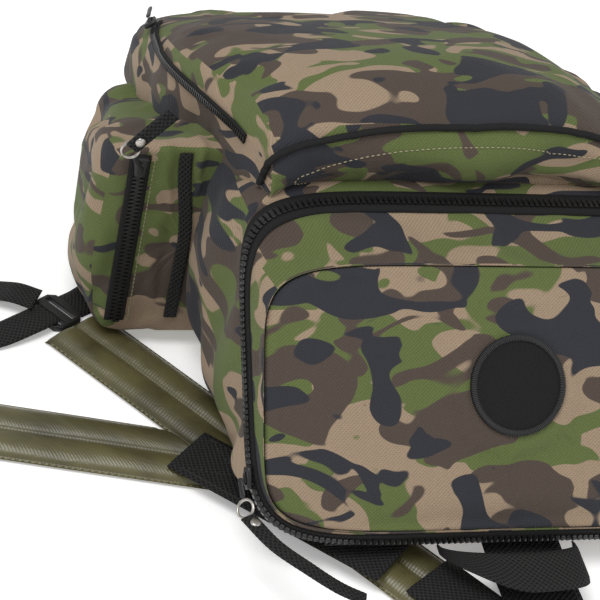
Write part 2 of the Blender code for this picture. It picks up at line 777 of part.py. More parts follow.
def front_slider(path, normals):
    along = (path[-3] - path[-1]).normalized()
    out = normals[-2] - along * normals[-2].dot(along)
    out.normalize()
    centre = path[-2] + out * (FRONT_ZIP_THICKNESS / 2 + 2 * GAP + SLIDER_THICKNESS / 2)
    slider("front_slider", centre, along, out, centre)
    pivot = centre + out * (SLIDER_THICKNESS / 2 + GAP + LINK_THICKNESS / 2)
    block(
        "front_pull_link",
        pivot - along * (FRONT_LINK_LENGTH / 2),
        (along, along.cross(out), out),
        (FRONT_LINK_LENGTH, LINK_WIDTH, LINK_THICKNESS),
        PLASTIC,
        pivot,
    )


# Handle and straps


def grab_handle():
    origin = at(HANDLE_CENTRE_X, HANDLE_ROOT_T - HANDLE_PIVOT_OUT, HANDLE_ROOT_Z - HANDLE_PIVOT_DROP)
    lean = Vector((0, -math.cos(HANDLE_LEAN), -math.sin(HANDLE_LEAN)))
    span = [math.pi * step / HANDLE_STEPS for step in range(HANDLE_STEPS + 1)]
    arch = [(HANDLE_CENTRE_X - HANDLE_HALF_SPAN * math.cos(a), math.sin(a) ** 0.7) for a in span]
    rings = []
    for k, (x, rise) in enumerate(arch):
        before, after = arch[max(k - 1, 0)], arch[min(k + 1, HANDLE_STEPS)]
        way = Vector((after[0] - before[0], 0, (after[1] - before[1]) * HANDLE_RISE)).normalized()
        half = lean.cross(way) * (HANDLE_THICKNESS / 2)
        foot = at(x, HANDLE_ROOT_T - HANDLE_PUSH * rise, HANDLE_ROOT_Z + HANDLE_RISE * rise)
        edge = foot + lean * HANDLE_WIDTH
        rings.append([foot - half, edge - half, edge + half, foot + half])
    solid("grab_handle", *loft(rings), WEBBING, origin)


def flat_path(corners, z):
    return [at(x, t, z) for x, t in corners]


def strap_pad(name, end, aim, origin=Vector()):
    """A padded strap of coated cloth with rounded long edges, lying on the floor."""
    along = Vector((aim[0], aim[1], 0)).normalized()
    start = at(end[0], end[1], GAP + STRAP_THICKNESS / 2)
    path = [start + along * (STRAP_LENGTH * step / 8) for step in range(9)]
    a, b = STRAP_WIDTH / 2, STRAP_THICKNESS / 2
    profile = []
    for k in range(16):
        angle = 2 * math.pi * (k + 0.5) / 16
        profile.append(
            (
                a * math.copysign(abs(math.cos(angle)) ** 0.4, math.cos(angle)),
                b * math.copysign(abs(math.sin(angle)) ** 0.6, math.sin(angle)),
            )
        )
    points, faces = sweep(path, [Vector((0, 0, 1))] * 9, profile)
    return solid(name, points, faces, OLIVE, origin)


def ladder_lock(name, centre, along, origin):
    """A flat plastic frame with two slots across the way that its webbing runs."""
    across = Vector((-along.y, along.x, 0))
    up = Vector((0, 0, 1))
    made = block(name, centre, (along, across, up), (LOCK_LENGTH, LOCK_WIDTH, LOCK_THICKNESS), PLASTIC, origin)
    for k, shift in enumerate((-0.22, 0.22)):
        middle = centre + along * (LOCK_LENGTH * shift)
        corners = [(-1, -1), (1, -1), (1, 1), (-1, 1)]
        rings = []
        for level in (-LOCK_THICKNESS, LOCK_THICKNESS):
            rings.append(
                [
                    middle + along * (p * LOCK_SLOT / 2) + across * (q * WEB_WIDTH / 2 + q * GAP) + up * level
                    for p, q in corners
                ]
            )
        cut(made, helper(f"{name}_slot_{k}", *loft(rings)))
    return made


def right_pad_side():
    """A cutter over all that lies beyond the right pad's near edge, where the left pad stops."""
    along = Vector((*RIGHT_STRAP_AIM, 0)).normalized()
    across = Vector((-along.y, along.x, 0))
    foot = at(*RIGHT_STRAP_END, 0) + across * (-STRAP_WIDTH / 2 - 2 * GAP)
    rings = []
    for level in (-STRAP_THICKNESS, 2 * STRAP_THICKNESS):
        corners = [(0, 0), (STRAP_LENGTH, 0), (STRAP_LENGTH, STRAP_LENGTH), (0, STRAP_LENGTH)]
        rings.append([foot + along * p + across * q + Vector((0, 0, level)) for p, q in corners])
    return helper("right_pad_side", *loft(rings))


def left_strap():
    root = at(*LEFT_HANGER_END, STRAP_THICKNESS + 3 * GAP)
    cut(strap_pad("left_strap_pad", LEFT_STRAP_END, LEFT_STRAP_AIM, root), right_pad_side())
    level = STRAP_THICKNESS + 2 * GAP + HANGER_THICKNESS / 2
    path = []
    for step in range(9):
        u = step / 8
        path.append(at(*mix_pair(LEFT_HANGER_START, LEFT_HANGER_END, u), level + HANGER_ROOT_RISE * u))
    strip("left_strap_hanger", path, [Vector((0, 0, 1))] * 9, HANGER_WIDTH, HANGER_THICKNESS, WEBBING, root)
    along = Vector((*LEFT_STRAP_AIM, 0)).normalized()
    pivot = at(*LEFT_STRAP_END, GAP + LOCK_THICKNESS) - along * GAP
    middle = pivot - along * (LOCK_LENGTH / 2) - Vector((0, 0, LOCK_THICKNESS / 2))
    ladder_lock("left_ladder_lock", middle, along, pivot)


def mix_pair(start, end, share):
    return mix(start[0], end[0], share), mix(start[1], end[1], share)


def right_lock_aim():
    """The right lock lies turned, so that its webbing runs along the strap's cut end."""
    return Vector((-RIGHT_STRAP_AIM[1], RIGHT_STRAP_AIM[0], 0)).normalized()


def right_lock_centre():
    past = Vector((*RIGHT_STRAP_AIM, 0)).normalized() * (LOCK_WIDTH / 2 + 2 * GAP)
    return at(*RIGHT_STRAP_END, GAP + LOCK_THICKNESS / 2) - past


def right_strap():
    strap_pad("right_strap_pad", RIGHT_STRAP_END, RIGHT_STRAP_AIM)
    ladder_lock("right_ladder_lock", right_lock_centre(), right_lock_aim(), Vector())
    along = Vector((*RIGHT_STRAP_AIM, 0)).normalized()
    level = STRAP_THICKNESS + 2 * GAP + HANGER_THICKNESS / 2
    foot = at(*RIGHT_STRAP_END, level)
    patch_end = foot + along * (STRAP_LENGTH + 0.010)
    patch_start = foot + along * (STRAP_LENGTH - HANGER_OVERLAP)
    upper = level + HANGER_THICKNESS * 0.9
    climb = [HANGER_ROOT_RISE, HANGER_ROOT_RISE * 0.4, 0, 0, 0, 0, 0]
    patch = [patch_start.lerp(patch_end, step / 4) for step in range(5)]
    points, faces = sweep(patch, [Vector((0, 0, 1))] * 5, strip_profile(HANGER_WIDTH, HANGER_THICKNESS))
    run = []
    for step, rise in enumerate(climb):
        run.append(at(RIGHT_HANGER_X, mix(RIGHT_HANGER_ROOT, RIGHT_HANGER_REACH, step / 6), upper + rise))
    wide = HANGER_WIDTH + 0.008
    made = strip("right_strap_hanger", run, [Vector((0, 0, 1))] * 7, wide, HANGER_THICKNESS, WEBBING)
    other = helper("right_hanger_patch", points, faces)
    modifier = made.modifiers.new("fold", "BOOLEAN")
    modifier.operation = "UNION"
    modifier.solver = "EXACT"
    modifier.object = other


def webbing_runs():
    """Strap webbing on the floor: the right strap's run under the bag, its loose tail, and the left run."""
    floor = GAP + WEB_THICKNESS / 2
    up = Vector((0, 0, 1))
    along = right_lock_aim()
    lock = right_lock_centre()
    lock.z = floor
    start = lock + along * (LOCK_LENGTH / 2 + 4 * GAP)
    corners = [start, start + along * WEB_STRAIGHT]
    last = [(0, WEB_LEVEL), (LOWER_TAB_OUTER - WEB_SEWN_IN, WEB_LEVEL)]
    corners += flat_path([*WEB_ROUTE, *last], floor)
    path = smooth_path(corners, 0.015)
    strip("right_adjuster_web", path, [up] * len(path), WEB_WIDTH, WEB_THICKNESS, WEBBING)
    lock.z = GAP + LOCK_THICKNESS + GAP + WEB_THICKNESS / 2
    start = lock - along * (LOCK_LENGTH * 0.25)
    low = floor + WEB_THICKNESS
    tail = [start, start - along * WEB_STRAIGHT, *flat_path(TAIL_ROUTE, low)]
    tail += [at(*place, low + TAIL_LIFT) for place in TAIL_END]
    path = smooth_path(tail, 0.010)
    strip("right_adjuster_tail", path, [up] * len(path), TAIL_WIDTH, WEB_THICKNESS, WEBBING, start)
    upper = floor + WEB_THICKNESS + GAP
    sewn = (WEB_SEWN_IN - LOWER_TAB_OUTER, WEB_LEVEL)
    path = smooth_path(flat_path([sewn, *LOOSE_ROUTE], upper), 0.012)
    strip("left_adjuster_web", path, [up] * len(path), TAIL_WIDTH, WEB_THICKNESS, WEBBING)


def lower_tabs(trimmer):
    """Cloth wedges at the bottom corners that the strap webbing is sewn under."""
    low = WEB_THICKNESS * 2 + 4 * GAP
    for side, sign in (("left", -1), ("right", 1)):
        outer = [(LOWER_TAB_OUTER, LOWER_TAB_START), (LOWER_TAB_OUTER - LOWER_TAB_TAPER, LOWER_TAB_END)]
        outline = [(LOWER_TAB_INNER, LOWER_TAB_START), *outer, (LOWER_TAB_INNER, LOWER_TAB_END)]
        rings = [[at(sign * x, t, z) for x, t in outline] for z in (low, LOWER_TAB_TOP)]
        cut(solid(f"lower_tab_{side}", *loft(rings), CAMO), trimmer)


def main():
    for old in list(bpy.data.objects):
        bpy.data.objects.remove(old)
    main_compartment()
    trimmer = body_cutter()
    lid()
    zip_path, zip_normals = front_pocket(trimmer)
    front_trimmer = helper("front_pocket_clearance", *loft(front_rings(-3 * GAP)))
    for side, sign in (("left", -1), ("right", 1)):
        side_pocket(side, sign, (trimmer, front_trimmer))
        side_slider(side, sign)
    main_slider()
    front_slider(zip_path, zip_normals)
    grab_handle()
    left_strap()
    right_strap()
    webbing_runs()
    lower_tabs(trimmer)


main()
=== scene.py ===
"""Dresses the camouflage rucksack: printed cloth, zips, webbing, straps, light and camera.

Metres, in the frame of the solids: X across the bag, Y from its top edge to its bottom, Z up from the
floor. Along the bag t is the distance from the top edge.
"""

from __future__ import annotations

import json
import logging
import math
from dataclasses import dataclass, field
from enum import Enum
from typing import Sequence

import bmesh
import bpy
import numpy as np
from mathutils import Matrix, Vector
from mathutils.bvhtree import BVHTree

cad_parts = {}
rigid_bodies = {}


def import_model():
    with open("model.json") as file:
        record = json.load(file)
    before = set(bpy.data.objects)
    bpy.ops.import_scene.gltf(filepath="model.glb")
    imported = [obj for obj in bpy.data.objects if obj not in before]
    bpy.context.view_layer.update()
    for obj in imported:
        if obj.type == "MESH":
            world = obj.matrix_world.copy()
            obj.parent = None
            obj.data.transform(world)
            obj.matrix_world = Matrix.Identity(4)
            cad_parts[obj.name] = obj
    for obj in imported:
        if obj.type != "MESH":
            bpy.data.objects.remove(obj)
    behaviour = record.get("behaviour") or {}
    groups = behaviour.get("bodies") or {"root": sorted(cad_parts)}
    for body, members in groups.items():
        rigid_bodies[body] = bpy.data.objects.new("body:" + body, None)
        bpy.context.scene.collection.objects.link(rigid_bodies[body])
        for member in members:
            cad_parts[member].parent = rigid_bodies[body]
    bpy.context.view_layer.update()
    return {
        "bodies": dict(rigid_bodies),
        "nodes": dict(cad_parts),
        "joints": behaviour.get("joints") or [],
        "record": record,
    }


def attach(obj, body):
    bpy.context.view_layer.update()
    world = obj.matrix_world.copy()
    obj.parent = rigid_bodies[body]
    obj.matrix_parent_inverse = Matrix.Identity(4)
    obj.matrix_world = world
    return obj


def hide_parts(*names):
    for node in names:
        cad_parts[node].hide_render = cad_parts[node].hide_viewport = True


Array = np.ndarray
Colour = tuple[float, float, float]
Piece = bpy.types.Object
Material = bpy.types.Material
Socket = bpy.types.NodeSocket
LOG = logging.getLogger("rucksack")
SEED = 7

TOP_Y = -0.2425
GAP = 0.0003
CLOTH = 0.0011
ACROSS = np.array([1.0, 0, 0])
UP = np.array([0, 0, 1.0])
TOPWARD = np.array([0, -1.0, 0])

# The bag's empty corner: where its sinking starts and how far on it is full, and its share of the height
SINK_ACROSS = (0.060, 0.120)
SINK_ALONG = (0.200, 0.150)
SINK_ABOVE = 0.030
SINK_SHARE = 0.30


class Side(Enum):
    """The two sides of the bag, with the sign of X."""

    LEFT = -1
    RIGHT = 1

    @property
    def word(self) -> str:
        """The side's name as the solids use it."""
        return self.name.lower()


class Half(Enum):
    """A half of the main zip, as its sign across the zip."""

    BAG = -1
    LID = 1

    @property
    def word(self) -> str:
        """The half's name, which is its body's name too."""
        return self.name.lower()


class Row(Enum):
    """What a sewn or moulded row repeats."""

    STITCH = "stitch"
    TOOTH = "tooth"


def linear(red: int, green: int, blue: int) -> Colour:
    """Turns a screen colour of 0 to 255 into linear light."""
    shares = [value / 255 for value in (red, green, blue)]
    return tuple(s / 12.92 if s <= 0.04045 else ((s + 0.055) / 1.055) ** 2.4 for s in shares)


# Finishes


class Graph:
    """A material's nodes, with short calls to add and join them."""

    def __init__(self, name: str, roughness: float, metallic: float = 0.0) -> None:
        """Starts a material.

        Args:
            name: the material's name.
            roughness: the shader's roughness.
            metallic: the shader's metallic value.
        """
        self.material = bpy.data.materials.new(name)
        self.material.use_nodes = True
        self.tree = self.material.node_tree
        self.shader = self.tree.nodes["Principled BSDF"]
        self.shader.inputs["Roughness"].default_value = roughness
        self.shader.inputs["Metallic"].default_value = metallic

    def add(
        self, kind: str, inputs: dict[str | int, object] | None = None, **settings: object
    ) -> bpy.types.Node:
        """Adds a node.

        Args:
            kind: the node's type name.
            inputs: values or sockets for its inputs.
            settings: the node's own settings.

        Returns:
            The node.
        """
        node = self.tree.nodes.new(kind)
        for name, value in settings.items():
            setattr(node, name, value)
        for key, value in (inputs or {}).items():
            if isinstance(value, Socket):
                self.tree.links.new(value, node.inputs[key])
            else:
                node.inputs[key].default_value = value
        return node

    def maths(self, operation: str, first: object, second: object = 0.0) -> Socket:
        """Adds a sum of two values."""
        return self.add("ShaderNodeMath", {0: first, 1: second}, operation=operation).outputs[0]

    def mix(self, share: object, first: object, second: object, mode: str = "MIX") -> Socket:
        """Mixes two colours."""
        values = {0: share, 6: full(first), 7: full(second)}
        return self.add("ShaderNodeMix", values, data_type="RGBA", blend_type=mode).outputs[2]

    def uv(
        self,
        shift: Sequence[float] = (0, 0, 0),
        turn: float = 0.0,
        scale: Sequence[float] = (1, 1, 1),
    ) -> Socket:
        """The piece's UV map in metres, moved, turned and scaled.

        Args:
            shift: how far the pattern moves.
            turn: the turn in radians.
            scale: the scale of each axis.

        Returns:
            The coordinates' socket.
        """
        source = self.add("ShaderNodeUVMap", uv_map="Cloth").outputs[0]
        inputs = {0: source, 1: tuple(shift), 2: (0, 0, turn), 3: tuple(scale)}
        return self.add("ShaderNodeMapping", inputs).outputs[0]

    def noise(self, place: object, scale: float, detail: float, distortion: float = 0.0) -> Socket:
        """Smooth noise.

        Args:
            place: the coordinates' socket.
            scale: features per metre.
            detail: finer octaves.
            distortion: how far the noise is warped.

        Returns:
            The value's socket.
        """
        inputs = {"Vector": place, "Scale": scale, "Detail": detail, "Distortion": distortion}
        inputs["Roughness"] = 0.5
        return self.add("ShaderNodeTexNoise", inputs, noise_dimensions="3D").outputs[0]

    def waves(self, axis: Socket, pitch: float) -> Socket:
        """A sine of the coordinate, from -1 to 1."""
        return self.maths("SINE", self.maths("MULTIPLY", axis, 2 * math.pi / pitch))

    def step(self, value: Socket, edge: float, soft: float) -> Socket:
        """A soft step from 0 to 1 where the value passes the edge."""
        inputs = {0: value, 1: edge - soft / 2, 2: edge + soft / 2}
        return self.add("ShaderNodeMapRange", inputs, interpolation_type="SMOOTHSTEP").outputs[0]

    def colour(self, socket: object) -> None:
        """Sets the shader's colour from a socket or a colour."""
        if isinstance(socket, Socket):
            self.tree.links.new(socket, self.shader.inputs["Base Color"])
        else:
            self.shader.inputs["Base Color"].default_value = full(socket)

    def rough(self, socket: Socket) -> None:
        """Sets the shader's roughness from a socket."""
        self.tree.links.new(socket, self.shader.inputs["Roughness"])

    def bump(self, height: Socket, strength: float, distance: float) -> None:
        """Bumps the surface, on top of any bump before it.

        Args:
            height: the height's socket.
            strength: how much of it shows.
            distance: its height in metres.
        """
        inputs = {"Height": height, "Strength": strength, "Distance": distance}
        made = self.add("ShaderNodeBump", inputs)
        target = self.shader.inputs["Normal"]
        if target.links:
            self.tree.links.new(target.links[0].from_socket, made.inputs["Normal"])
        self.tree.links.new(made.outputs[0], target)


def full(value: object) -> object:
    """A colour with its alpha, or a socket as it is."""
    return value if isinstance(value, Socket) else (*value, 1.0)


@dataclass(frozen=True)
class Camouflage:
    """Woven polyester with a printed woodland pattern, cut from its own place on the roll, with extra dark
    ink as painted shade on some panels.
    """

    panel: str
    shift: tuple[float, float]
    turn: float = 0.0
    blobs: float = 17.0
    stretch: float = 1.7
    # Extra share of the darker inks: painted shade that darkens a whole panel, not part of the print
    cover: float = 0.0
    edges: tuple[float, float, float] = (0.480, 0.545, 0.585)
    aways: tuple[float, float, float] = (0.0, 3.1, 7.7)
    weave: float = 0.0016
    tan: Colour = linear(148, 128, 106)
    green: Colour = linear(86, 98, 50)
    brown: Colour = linear(73, 61, 53)
    dark: Colour = linear(37, 38, 45)

    def material(self) -> Material:
        """Builds the cloth's material.

        Returns:
            The material.
        """
        graph = Graph(f"camouflage_{self.panel}", 0.86)
        graph.shader.inputs["Sheen Weight"].default_value = 0.05
        print_place = graph.uv((*self.shift, 0), self.turn, (1, self.stretch, 1))
        ink: object = self.tan
        for colour, edge, away in zip((self.green, self.brown, self.dark), self.edges, self.aways):
            inputs = {0: print_place, 1: (away, away / 2, away)}
            moved = graph.add("ShaderNodeVectorMath", inputs, operation="ADD")
            blob = graph.noise(moved.outputs[0], self.blobs, 1.2, 1.0)
            # The edge is lowered by the extra dark-ink share, which is painted shade
            ink = graph.mix(graph.step(blob, edge - self.cover, 0.012), ink, colour)
        threads = graph.uv(turn=math.radians(45))
        parts = graph.add("ShaderNodeSeparateXYZ", {0: threads})
        warp, weft = (graph.waves(parts.outputs[k], self.weave) for k in (0, 1))
        cells = graph.maths("MULTIPLY", warp, weft)
        lines = graph.maths("ADD", graph.maths("MULTIPLY", warp, 0.55), graph.maths("MULTIPLY", cells, 0.45))
        slub = graph.noise(graph.uv(scale=(1, 5, 1)), 420, 1.0)
        light = graph.maths("ADD", graph.maths("MULTIPLY", lines, 0.22), graph.maths("MULTIPLY", slub, 0.36))
        shade = graph.maths("ADD", light, 0.84)
        graph.colour(graph.mix(1.0, ink, shade, "MULTIPLY"))
        graph.bump(lines, 0.45, 0.00035)
        graph.bump(graph.noise(graph.uv(), 55, 3.0, 0.6), 0.30, 0.0016)
        return graph.material


@dataclass(frozen=True)
class Webbing:
    """Black woven tape: ribs along and across it."""

    name: str = "webbing_black"
    base: Colour = linear(31, 31, 31)
    pitch_along: float = 0.0024
    pitch_across: float = 0.0027
    roughness: float = 0.72

    def material(self) -> Material:
        """Builds the tape's material.

        Returns:
            The material.
        """
        graph = Graph(self.name, self.roughness)
        graph.shader.inputs["Specular IOR Level"].default_value = 0.3
        parts = graph.add("ShaderNodeSeparateXYZ", {0: graph.uv()})
        slant = graph.maths("ADD", parts.outputs[0], parts.outputs[1])
        back = graph.maths("SUBTRACT", parts.outputs[0], parts.outputs[1])
        one = graph.waves(slant, self.pitch_along * 1.4)
        two = graph.waves(back, self.pitch_across * 1.4)
        cells = graph.maths("MAXIMUM", one, two)
        fuzz = graph.noise(graph.uv(), 700, 2.0)
        tone = graph.maths("ADD", graph.maths("MULTIPLY", cells, 0.8), graph.maths("MULTIPLY", fuzz, 1.0))
        shade = graph.maths("ADD", tone, 0.35)
        graph.colour(graph.mix(1.0, self.base, shade, "MULTIPLY"))
        graph.bump(cells, 0.9, 0.0006)
        return graph.material


@dataclass(frozen=True)
class CoatedCloth:
    """Olive cloth with a glossy coating over fine cross ribs."""

    name: str = "olive_coated"
    base: Colour = linear(101, 96, 62)
    dark: Colour = linear(66, 62, 38)
    rib: float = 0.0021

    def material(self) -> Material:
        """Builds the coated cloth's material.

        Returns:
            The material.
        """
        graph = Graph(self.name, 0.36)
        graph.shader.inputs["Coat Weight"].default_value = 0.25
        graph.shader.inputs["Coat Roughness"].default_value = 0.28
        parts = graph.add("ShaderNodeSeparateXYZ", {0: graph.uv()})
        ribs = graph.waves(parts.outputs[1], self.rib)
        cloud = graph.noise(graph.uv(), 26, 3.0, 0.4)
        tone = graph.mix(graph.step(cloud, 0.5, 0.5), self.base, self.dark)
        shade = graph.maths("ADD", graph.maths("MULTIPLY", ribs, 0.05), 0.97)
        graph.colour(graph.mix(1.0, tone, shade, "MULTIPLY"))
        graph.rough(graph.maths("ADD", graph.maths("MULTIPLY", cloud, 0.25), 0.24))
        graph.bump(ribs, 0.22, 0.0002)
        graph.bump(graph.noise(graph.uv(scale=(1.6, 1, 1)), 60, 3.0, 0.8), 0.35, 0.0014)
        return graph.material


@dataclass(frozen=True)
class Moulded:
    """Moulded plastic or metal with a fine grain."""

    name: str
    base: Colour
    roughness: float
    metallic: float = 0.0
    grain: float = 900.0
    depth: float = 0.00012

    def material(self) -> Material:
        """Builds the moulded finish's material.

        Returns:
            The material.
        """
        graph = Graph(self.name, self.roughness, self.metallic)
        place = graph.add("ShaderNodeTexCoord").outputs["Object"]
        grain = graph.noise(place, self.grain, 2.0)
        worn = graph.noise(place, 130, 3.0)
        shade = graph.maths("ADD", graph.maths("MULTIPLY", worn, 0.4), 0.8)
        graph.colour(graph.mix(1.0, self.base, shade, "MULTIPLY"))
        graph.rough(graph.maths("ADD", graph.maths("MULTIPLY", worn, 0.2), self.roughness - 0.1))
        graph.bump(grain, 0.3, self.depth)
        return graph.material


@dataclass(frozen=True)
class Twill:
    """Fine cloth with slanting lines, for the patch and the zip tapes."""

    name: str
    base: Colour
    pitch: float = 0.0011
    roughness: float = 0.8

    def material(self) -> Material:
        """Builds the twill's material.

        Returns:
            The material.
        """
        graph = Graph(self.name, self.roughness)
        graph.shader.inputs["Specular IOR Level"].default_value = 0.25
        parts = graph.add("ShaderNodeSeparateXYZ", {0: graph.uv(turn=math.radians(50))})
        lines = graph.waves(parts.outputs[0], self.pitch)
        fuzz = graph.noise(graph.uv(), 800, 2.0)
        tone = graph.maths("ADD", graph.maths("MULTIPLY", lines, 0.18), graph.maths("MULTIPLY", fuzz, 0.5))
        graph.colour(graph.mix(1.0, self.base, graph.maths("ADD", tone, 0.75), "MULTIPLY"))
        graph.bump(lines, 0.5, 0.0002)
        return graph.material


def stored(finish: Webbing | CoatedCloth | Moulded | Twill) -> Material:
    """A dataclass field that builds this finish's material when its owner is made."""
    return field(default_factory=finish.material)


@dataclass
class Finishes:
    """Every material of the bag but the printed cloth, built once."""

    webbing: Material = stored(Webbing())
    olive: Material = stored(CoatedCloth())
    tape: Material = stored(Twill("zip_tape_black", linear(27, 27, 27)))
    patch: Material = stored(Twill("patch_twill", linear(22, 22, 22)))
    teeth: Material = stored(Moulded("teeth_black", linear(27, 27, 27), 0.32))
    plastic: Material = stored(Moulded("plastic_black", linear(28, 28, 29), 0.42))
    steel: Material = stored(Moulded("steel_nickel", linear(186, 181, 175), 0.33, 1.0, 500, 0.00005))
    foam: Material = stored(Webbing("mesh_foam", linear(36, 36, 36), 0.003, 0.003, 0.9))
    cream: Material = stored(Moulded("thread_cream", linear(160, 150, 124), 0.7))
    sage: Material = stored(Moulded("thread_sage", linear(142, 138, 108), 0.7))
    black_thread: Material = stored(Moulded("thread_black", linear(34, 34, 34), 0.6))


# Shape tools


def distances(path: Array) -> Array:
    """How far each point of a path lies along it."""
    return np.concatenate([[0], np.cumsum(np.linalg.norm(np.diff(path, axis=0), axis=1))])


def sampled(values: Array, places: Array, wanted: Array) -> Array:
    """Values between the rows of a table."""
    return np.stack([np.interp(wanted, places, values[:, k]) for k in range(values.shape[1])], axis=1)


def even(points: Array, count: int, closed: bool = False) -> Array:
    """Points evenly apart on a line.

    Args:
        points: the line's points, one in each row.
        count: how many points to give back.
        closed: whether the line returns to its start.

    Returns:
        The even points.
    """
    line = np.vstack([points, points[:1]]) if closed else points
    along = distances(line)
    return sampled(line, along, np.linspace(0, along[-1], count, endpoint=not closed))


def sunk(points: Array) -> Array:
    """The points after the bag's empty corner at the bottom right has sunk towards the floor.

    Args:
        points: the places, one in each row.

    Returns:
        The places after sinking.
    """
    across = ease((points[:, 0] - SINK_ACROSS[0]) / SINK_ACROSS[1])
    along = ease((points[:, 1] - TOP_Y - SINK_ALONG[0]) / SINK_ALONG[1])
    fall = np.maximum(0, points[:, 2] - SINK_ABOVE) * SINK_SHARE * across * along
    return np.column_stack([points[:, :2], points[:, 2] - fall])


def curve_through(corners: Sequence[Sequence[float]], count: int) -> Array:
    """Evenly spaced points on a smooth curve through the corners.

    Args:
        corners: the corner points.
        count: how many points to give back.

    Returns:
        The points.
    """
    p = np.array(corners, float)
    p = np.vstack([2 * p[0] - p[1], p, 2 * p[-1] - p[-2]])
    made = []
    for a, b, c, d in zip(p, p[1:], p[2:], p[3:]):
        for u in np.linspace(0, 1, 16, endpoint=False):
            cubic = (2 * a - 5 * b + 4 * c - d) * u**2 + (3 * b - a - 3 * c + d) * u**3
            made.append(0.5 * (2 * b + (c - a) * u + cubic))
    made.append(p[-2])
    return even(np.array(made), count)


def ease(share: float | Array) -> float | Array:
    """A smooth rise from 0 to 1."""
    held = np.clip(share, 0, 1)
    return held * held * (3 - 2 * held)


def squared(half_a: float, half_b: float, power: float, count: int) -> Array:
    """Even points of a rounded rectangle, counter-clockwise from +a.

    Args:
        half_a: half its width.
        half_b: half its height.
        power: how square it is.
        count: how many points.

    Returns:
        The points, one in each row.
    """
    angle = np.linspace(0, 2 * math.pi, 1440, endpoint=False)
    c, s = np.cos(angle), np.sin(angle)
    a = half_a * np.sign(c) * np.abs(c) ** (2 / power)
    b = half_b * np.sign(s) * np.abs(s) ** (2 / power)
    return even(np.stack([a, b], axis=1), count, closed=True)


def ripple(points: Array, size: float, depth: float, seed: int) -> Array:
    """Smooth heights at the points, from a sum of slanted waves.

    Args:
        points: the places, one in each row.
        size: the usual distance between two crests.
        depth: the usual height.
        seed: which waves.

    Returns:
        One height for each point.
    """
    random = np.random.default_rng(SEED + seed)
    total = np.zeros(len(points))
    for _ in range(9):
        way = random.normal(size=3)
        way /= np.linalg.norm(way)
        pitch = size * random.uniform(0.7, 1.8)
        total += np.sin(points @ way * (2 * math.pi / pitch) + random.uniform(0, 6.28))
    return total * depth / 3


class Skin:
    """Grids of points gathered into one mesh, with a UV map in metres."""

    def __init__(self) -> None:
        """Starts with no grid."""
        self.points: list[Array] = []
        self.faces: list[tuple[int, ...]] = []
        self.uvs: list[Array] = []
        self.count = 0

    def grid(self, rows: Array, closed: bool = False, flat: Array | None = None) -> "Skin":
        """Adds a grid.

        Args:
            rows: its points as rows by columns by 3.
            closed: whether its last column meets its first.
            flat: its place on the cloth, or None for distances along the grid.

        Returns:
            This skin.
        """
        if closed:
            rows = np.concatenate([rows, rows[:, :1]], axis=1)
        n, m = rows.shape[:2]
        if flat is None:
            across = np.linalg.norm(np.diff(rows, axis=1), axis=2).mean(axis=0)
            down = np.linalg.norm(np.diff(rows, axis=0), axis=2).mean(axis=1)
            u = np.concatenate([[0], np.cumsum(across)])
            v = np.concatenate([[0], np.cumsum(down)])
            flat = np.stack(np.meshgrid(u, v), axis=2)
        index = self.count + np.arange(n * m).reshape(n, m)
        quads = np.stack([index[:-1, :-1], index[:-1, 1:], index[1:, 1:], index[1:, :-1]], axis=2)
        self.faces += [tuple(int(k) for k in quad) for quad in quads.reshape(-1, 4)]
        self.points.append(rows.reshape(-1, 3))
        self.uvs.append(flat.reshape(-1, 2))
        self.count += n * m
        return self

    def bar(self, rows: Array, flat: Array | None = None) -> "Skin":
        """Adds a closed bar through rings, with a fan of faces over each end.

        Args:
            rows: its rings as rows by columns by 3.
            flat: its place on the cloth, or None for distances along the grid.

        Returns:
            This skin.
        """
        self.grid(rows, closed=True, flat=flat)
        for ring in (rows[0], rows[-1]):
            self.grid(np.stack([ring, np.tile(ring.mean(axis=0), (len(ring), 1))]), closed=True)
        return self

    def build(self, name: str, finish: Material, weld: float = 2e-5) -> Piece:
        """Makes the mesh object, its faces pointing away from its middle.

        Args:
            name: the piece's name.
            finish: its material.
            weld: how close two points are made one.

        Returns:
            The object.
        """
        points, uvs = sunk(np.vstack(self.points)), np.vstack(self.uvs)
        mesh = bpy.data.meshes.new(name)
        mesh.from_pydata(points.tolist(), [], self.faces)
        layer = mesh.uv_layers.new(name="Cloth")
        corners = np.empty(len(mesh.loops), np.int32)
        mesh.loops.foreach_get("vertex_index", corners)
        layer.data.foreach_set("uv", uvs[corners].astype(np.float32).ravel())
        work = bmesh.new()
        work.from_mesh(mesh)
        bmesh.ops.remove_doubles(work, verts=work.verts, dist=weld)
        bmesh.ops.dissolve_degenerate(work, edges=work.edges, dist=1e-7)
        bmesh.ops.recalc_face_normals(work, faces=work.faces)
        middle = Vector(points.mean(axis=0))
        outward = sum((f.calc_center_median() - middle).dot(f.normal) * f.calc_area() for f in work.faces)
        if outward < 0:
            bmesh.ops.reverse_faces(work, faces=work.faces)
        work.to_mesh(mesh)
        work.free()
        mesh.shade_smooth()
        mesh.materials.append(finish)
        return linked(name, mesh)


def linked(name: str, data: bpy.types.ID) -> Piece:
    """A new object of this data in the scene."""
    made = bpy.data.objects.new(name, data)
    bpy.context.scene.collection.objects.link(made)
    return made


def map_panels(piece: Piece, axes: Array, middle: Array, large: float = 1.0) -> None:
    """Lays each side of a form flat on the cloth by itself, as panels that meet at its edges.

    Args:
        piece: the form.
        axes: three directions, one in each row, that its panels face.
        middle: where the pattern starts.
        large: how much larger the pattern is along the panels that face the first direction.
    """
    mesh = piece.data
    layer = mesh.uv_layers["Cloth"]
    for face in mesh.polygons:
        facing = np.abs(axes @ np.array(face.normal))
        side = int(np.argmax(facing))
        one, two = [axis for k, axis in enumerate(axes) if k != side]
        one = one / large if side == 0 else one
        for corner in face.loop_indices:
            place = np.array(mesh.vertices[mesh.loops[corner].vertex_index].co) - middle
            layer.data[corner].uv = (float(place @ one) + 0.9 * side, float(place @ two) + 0.55 * side)


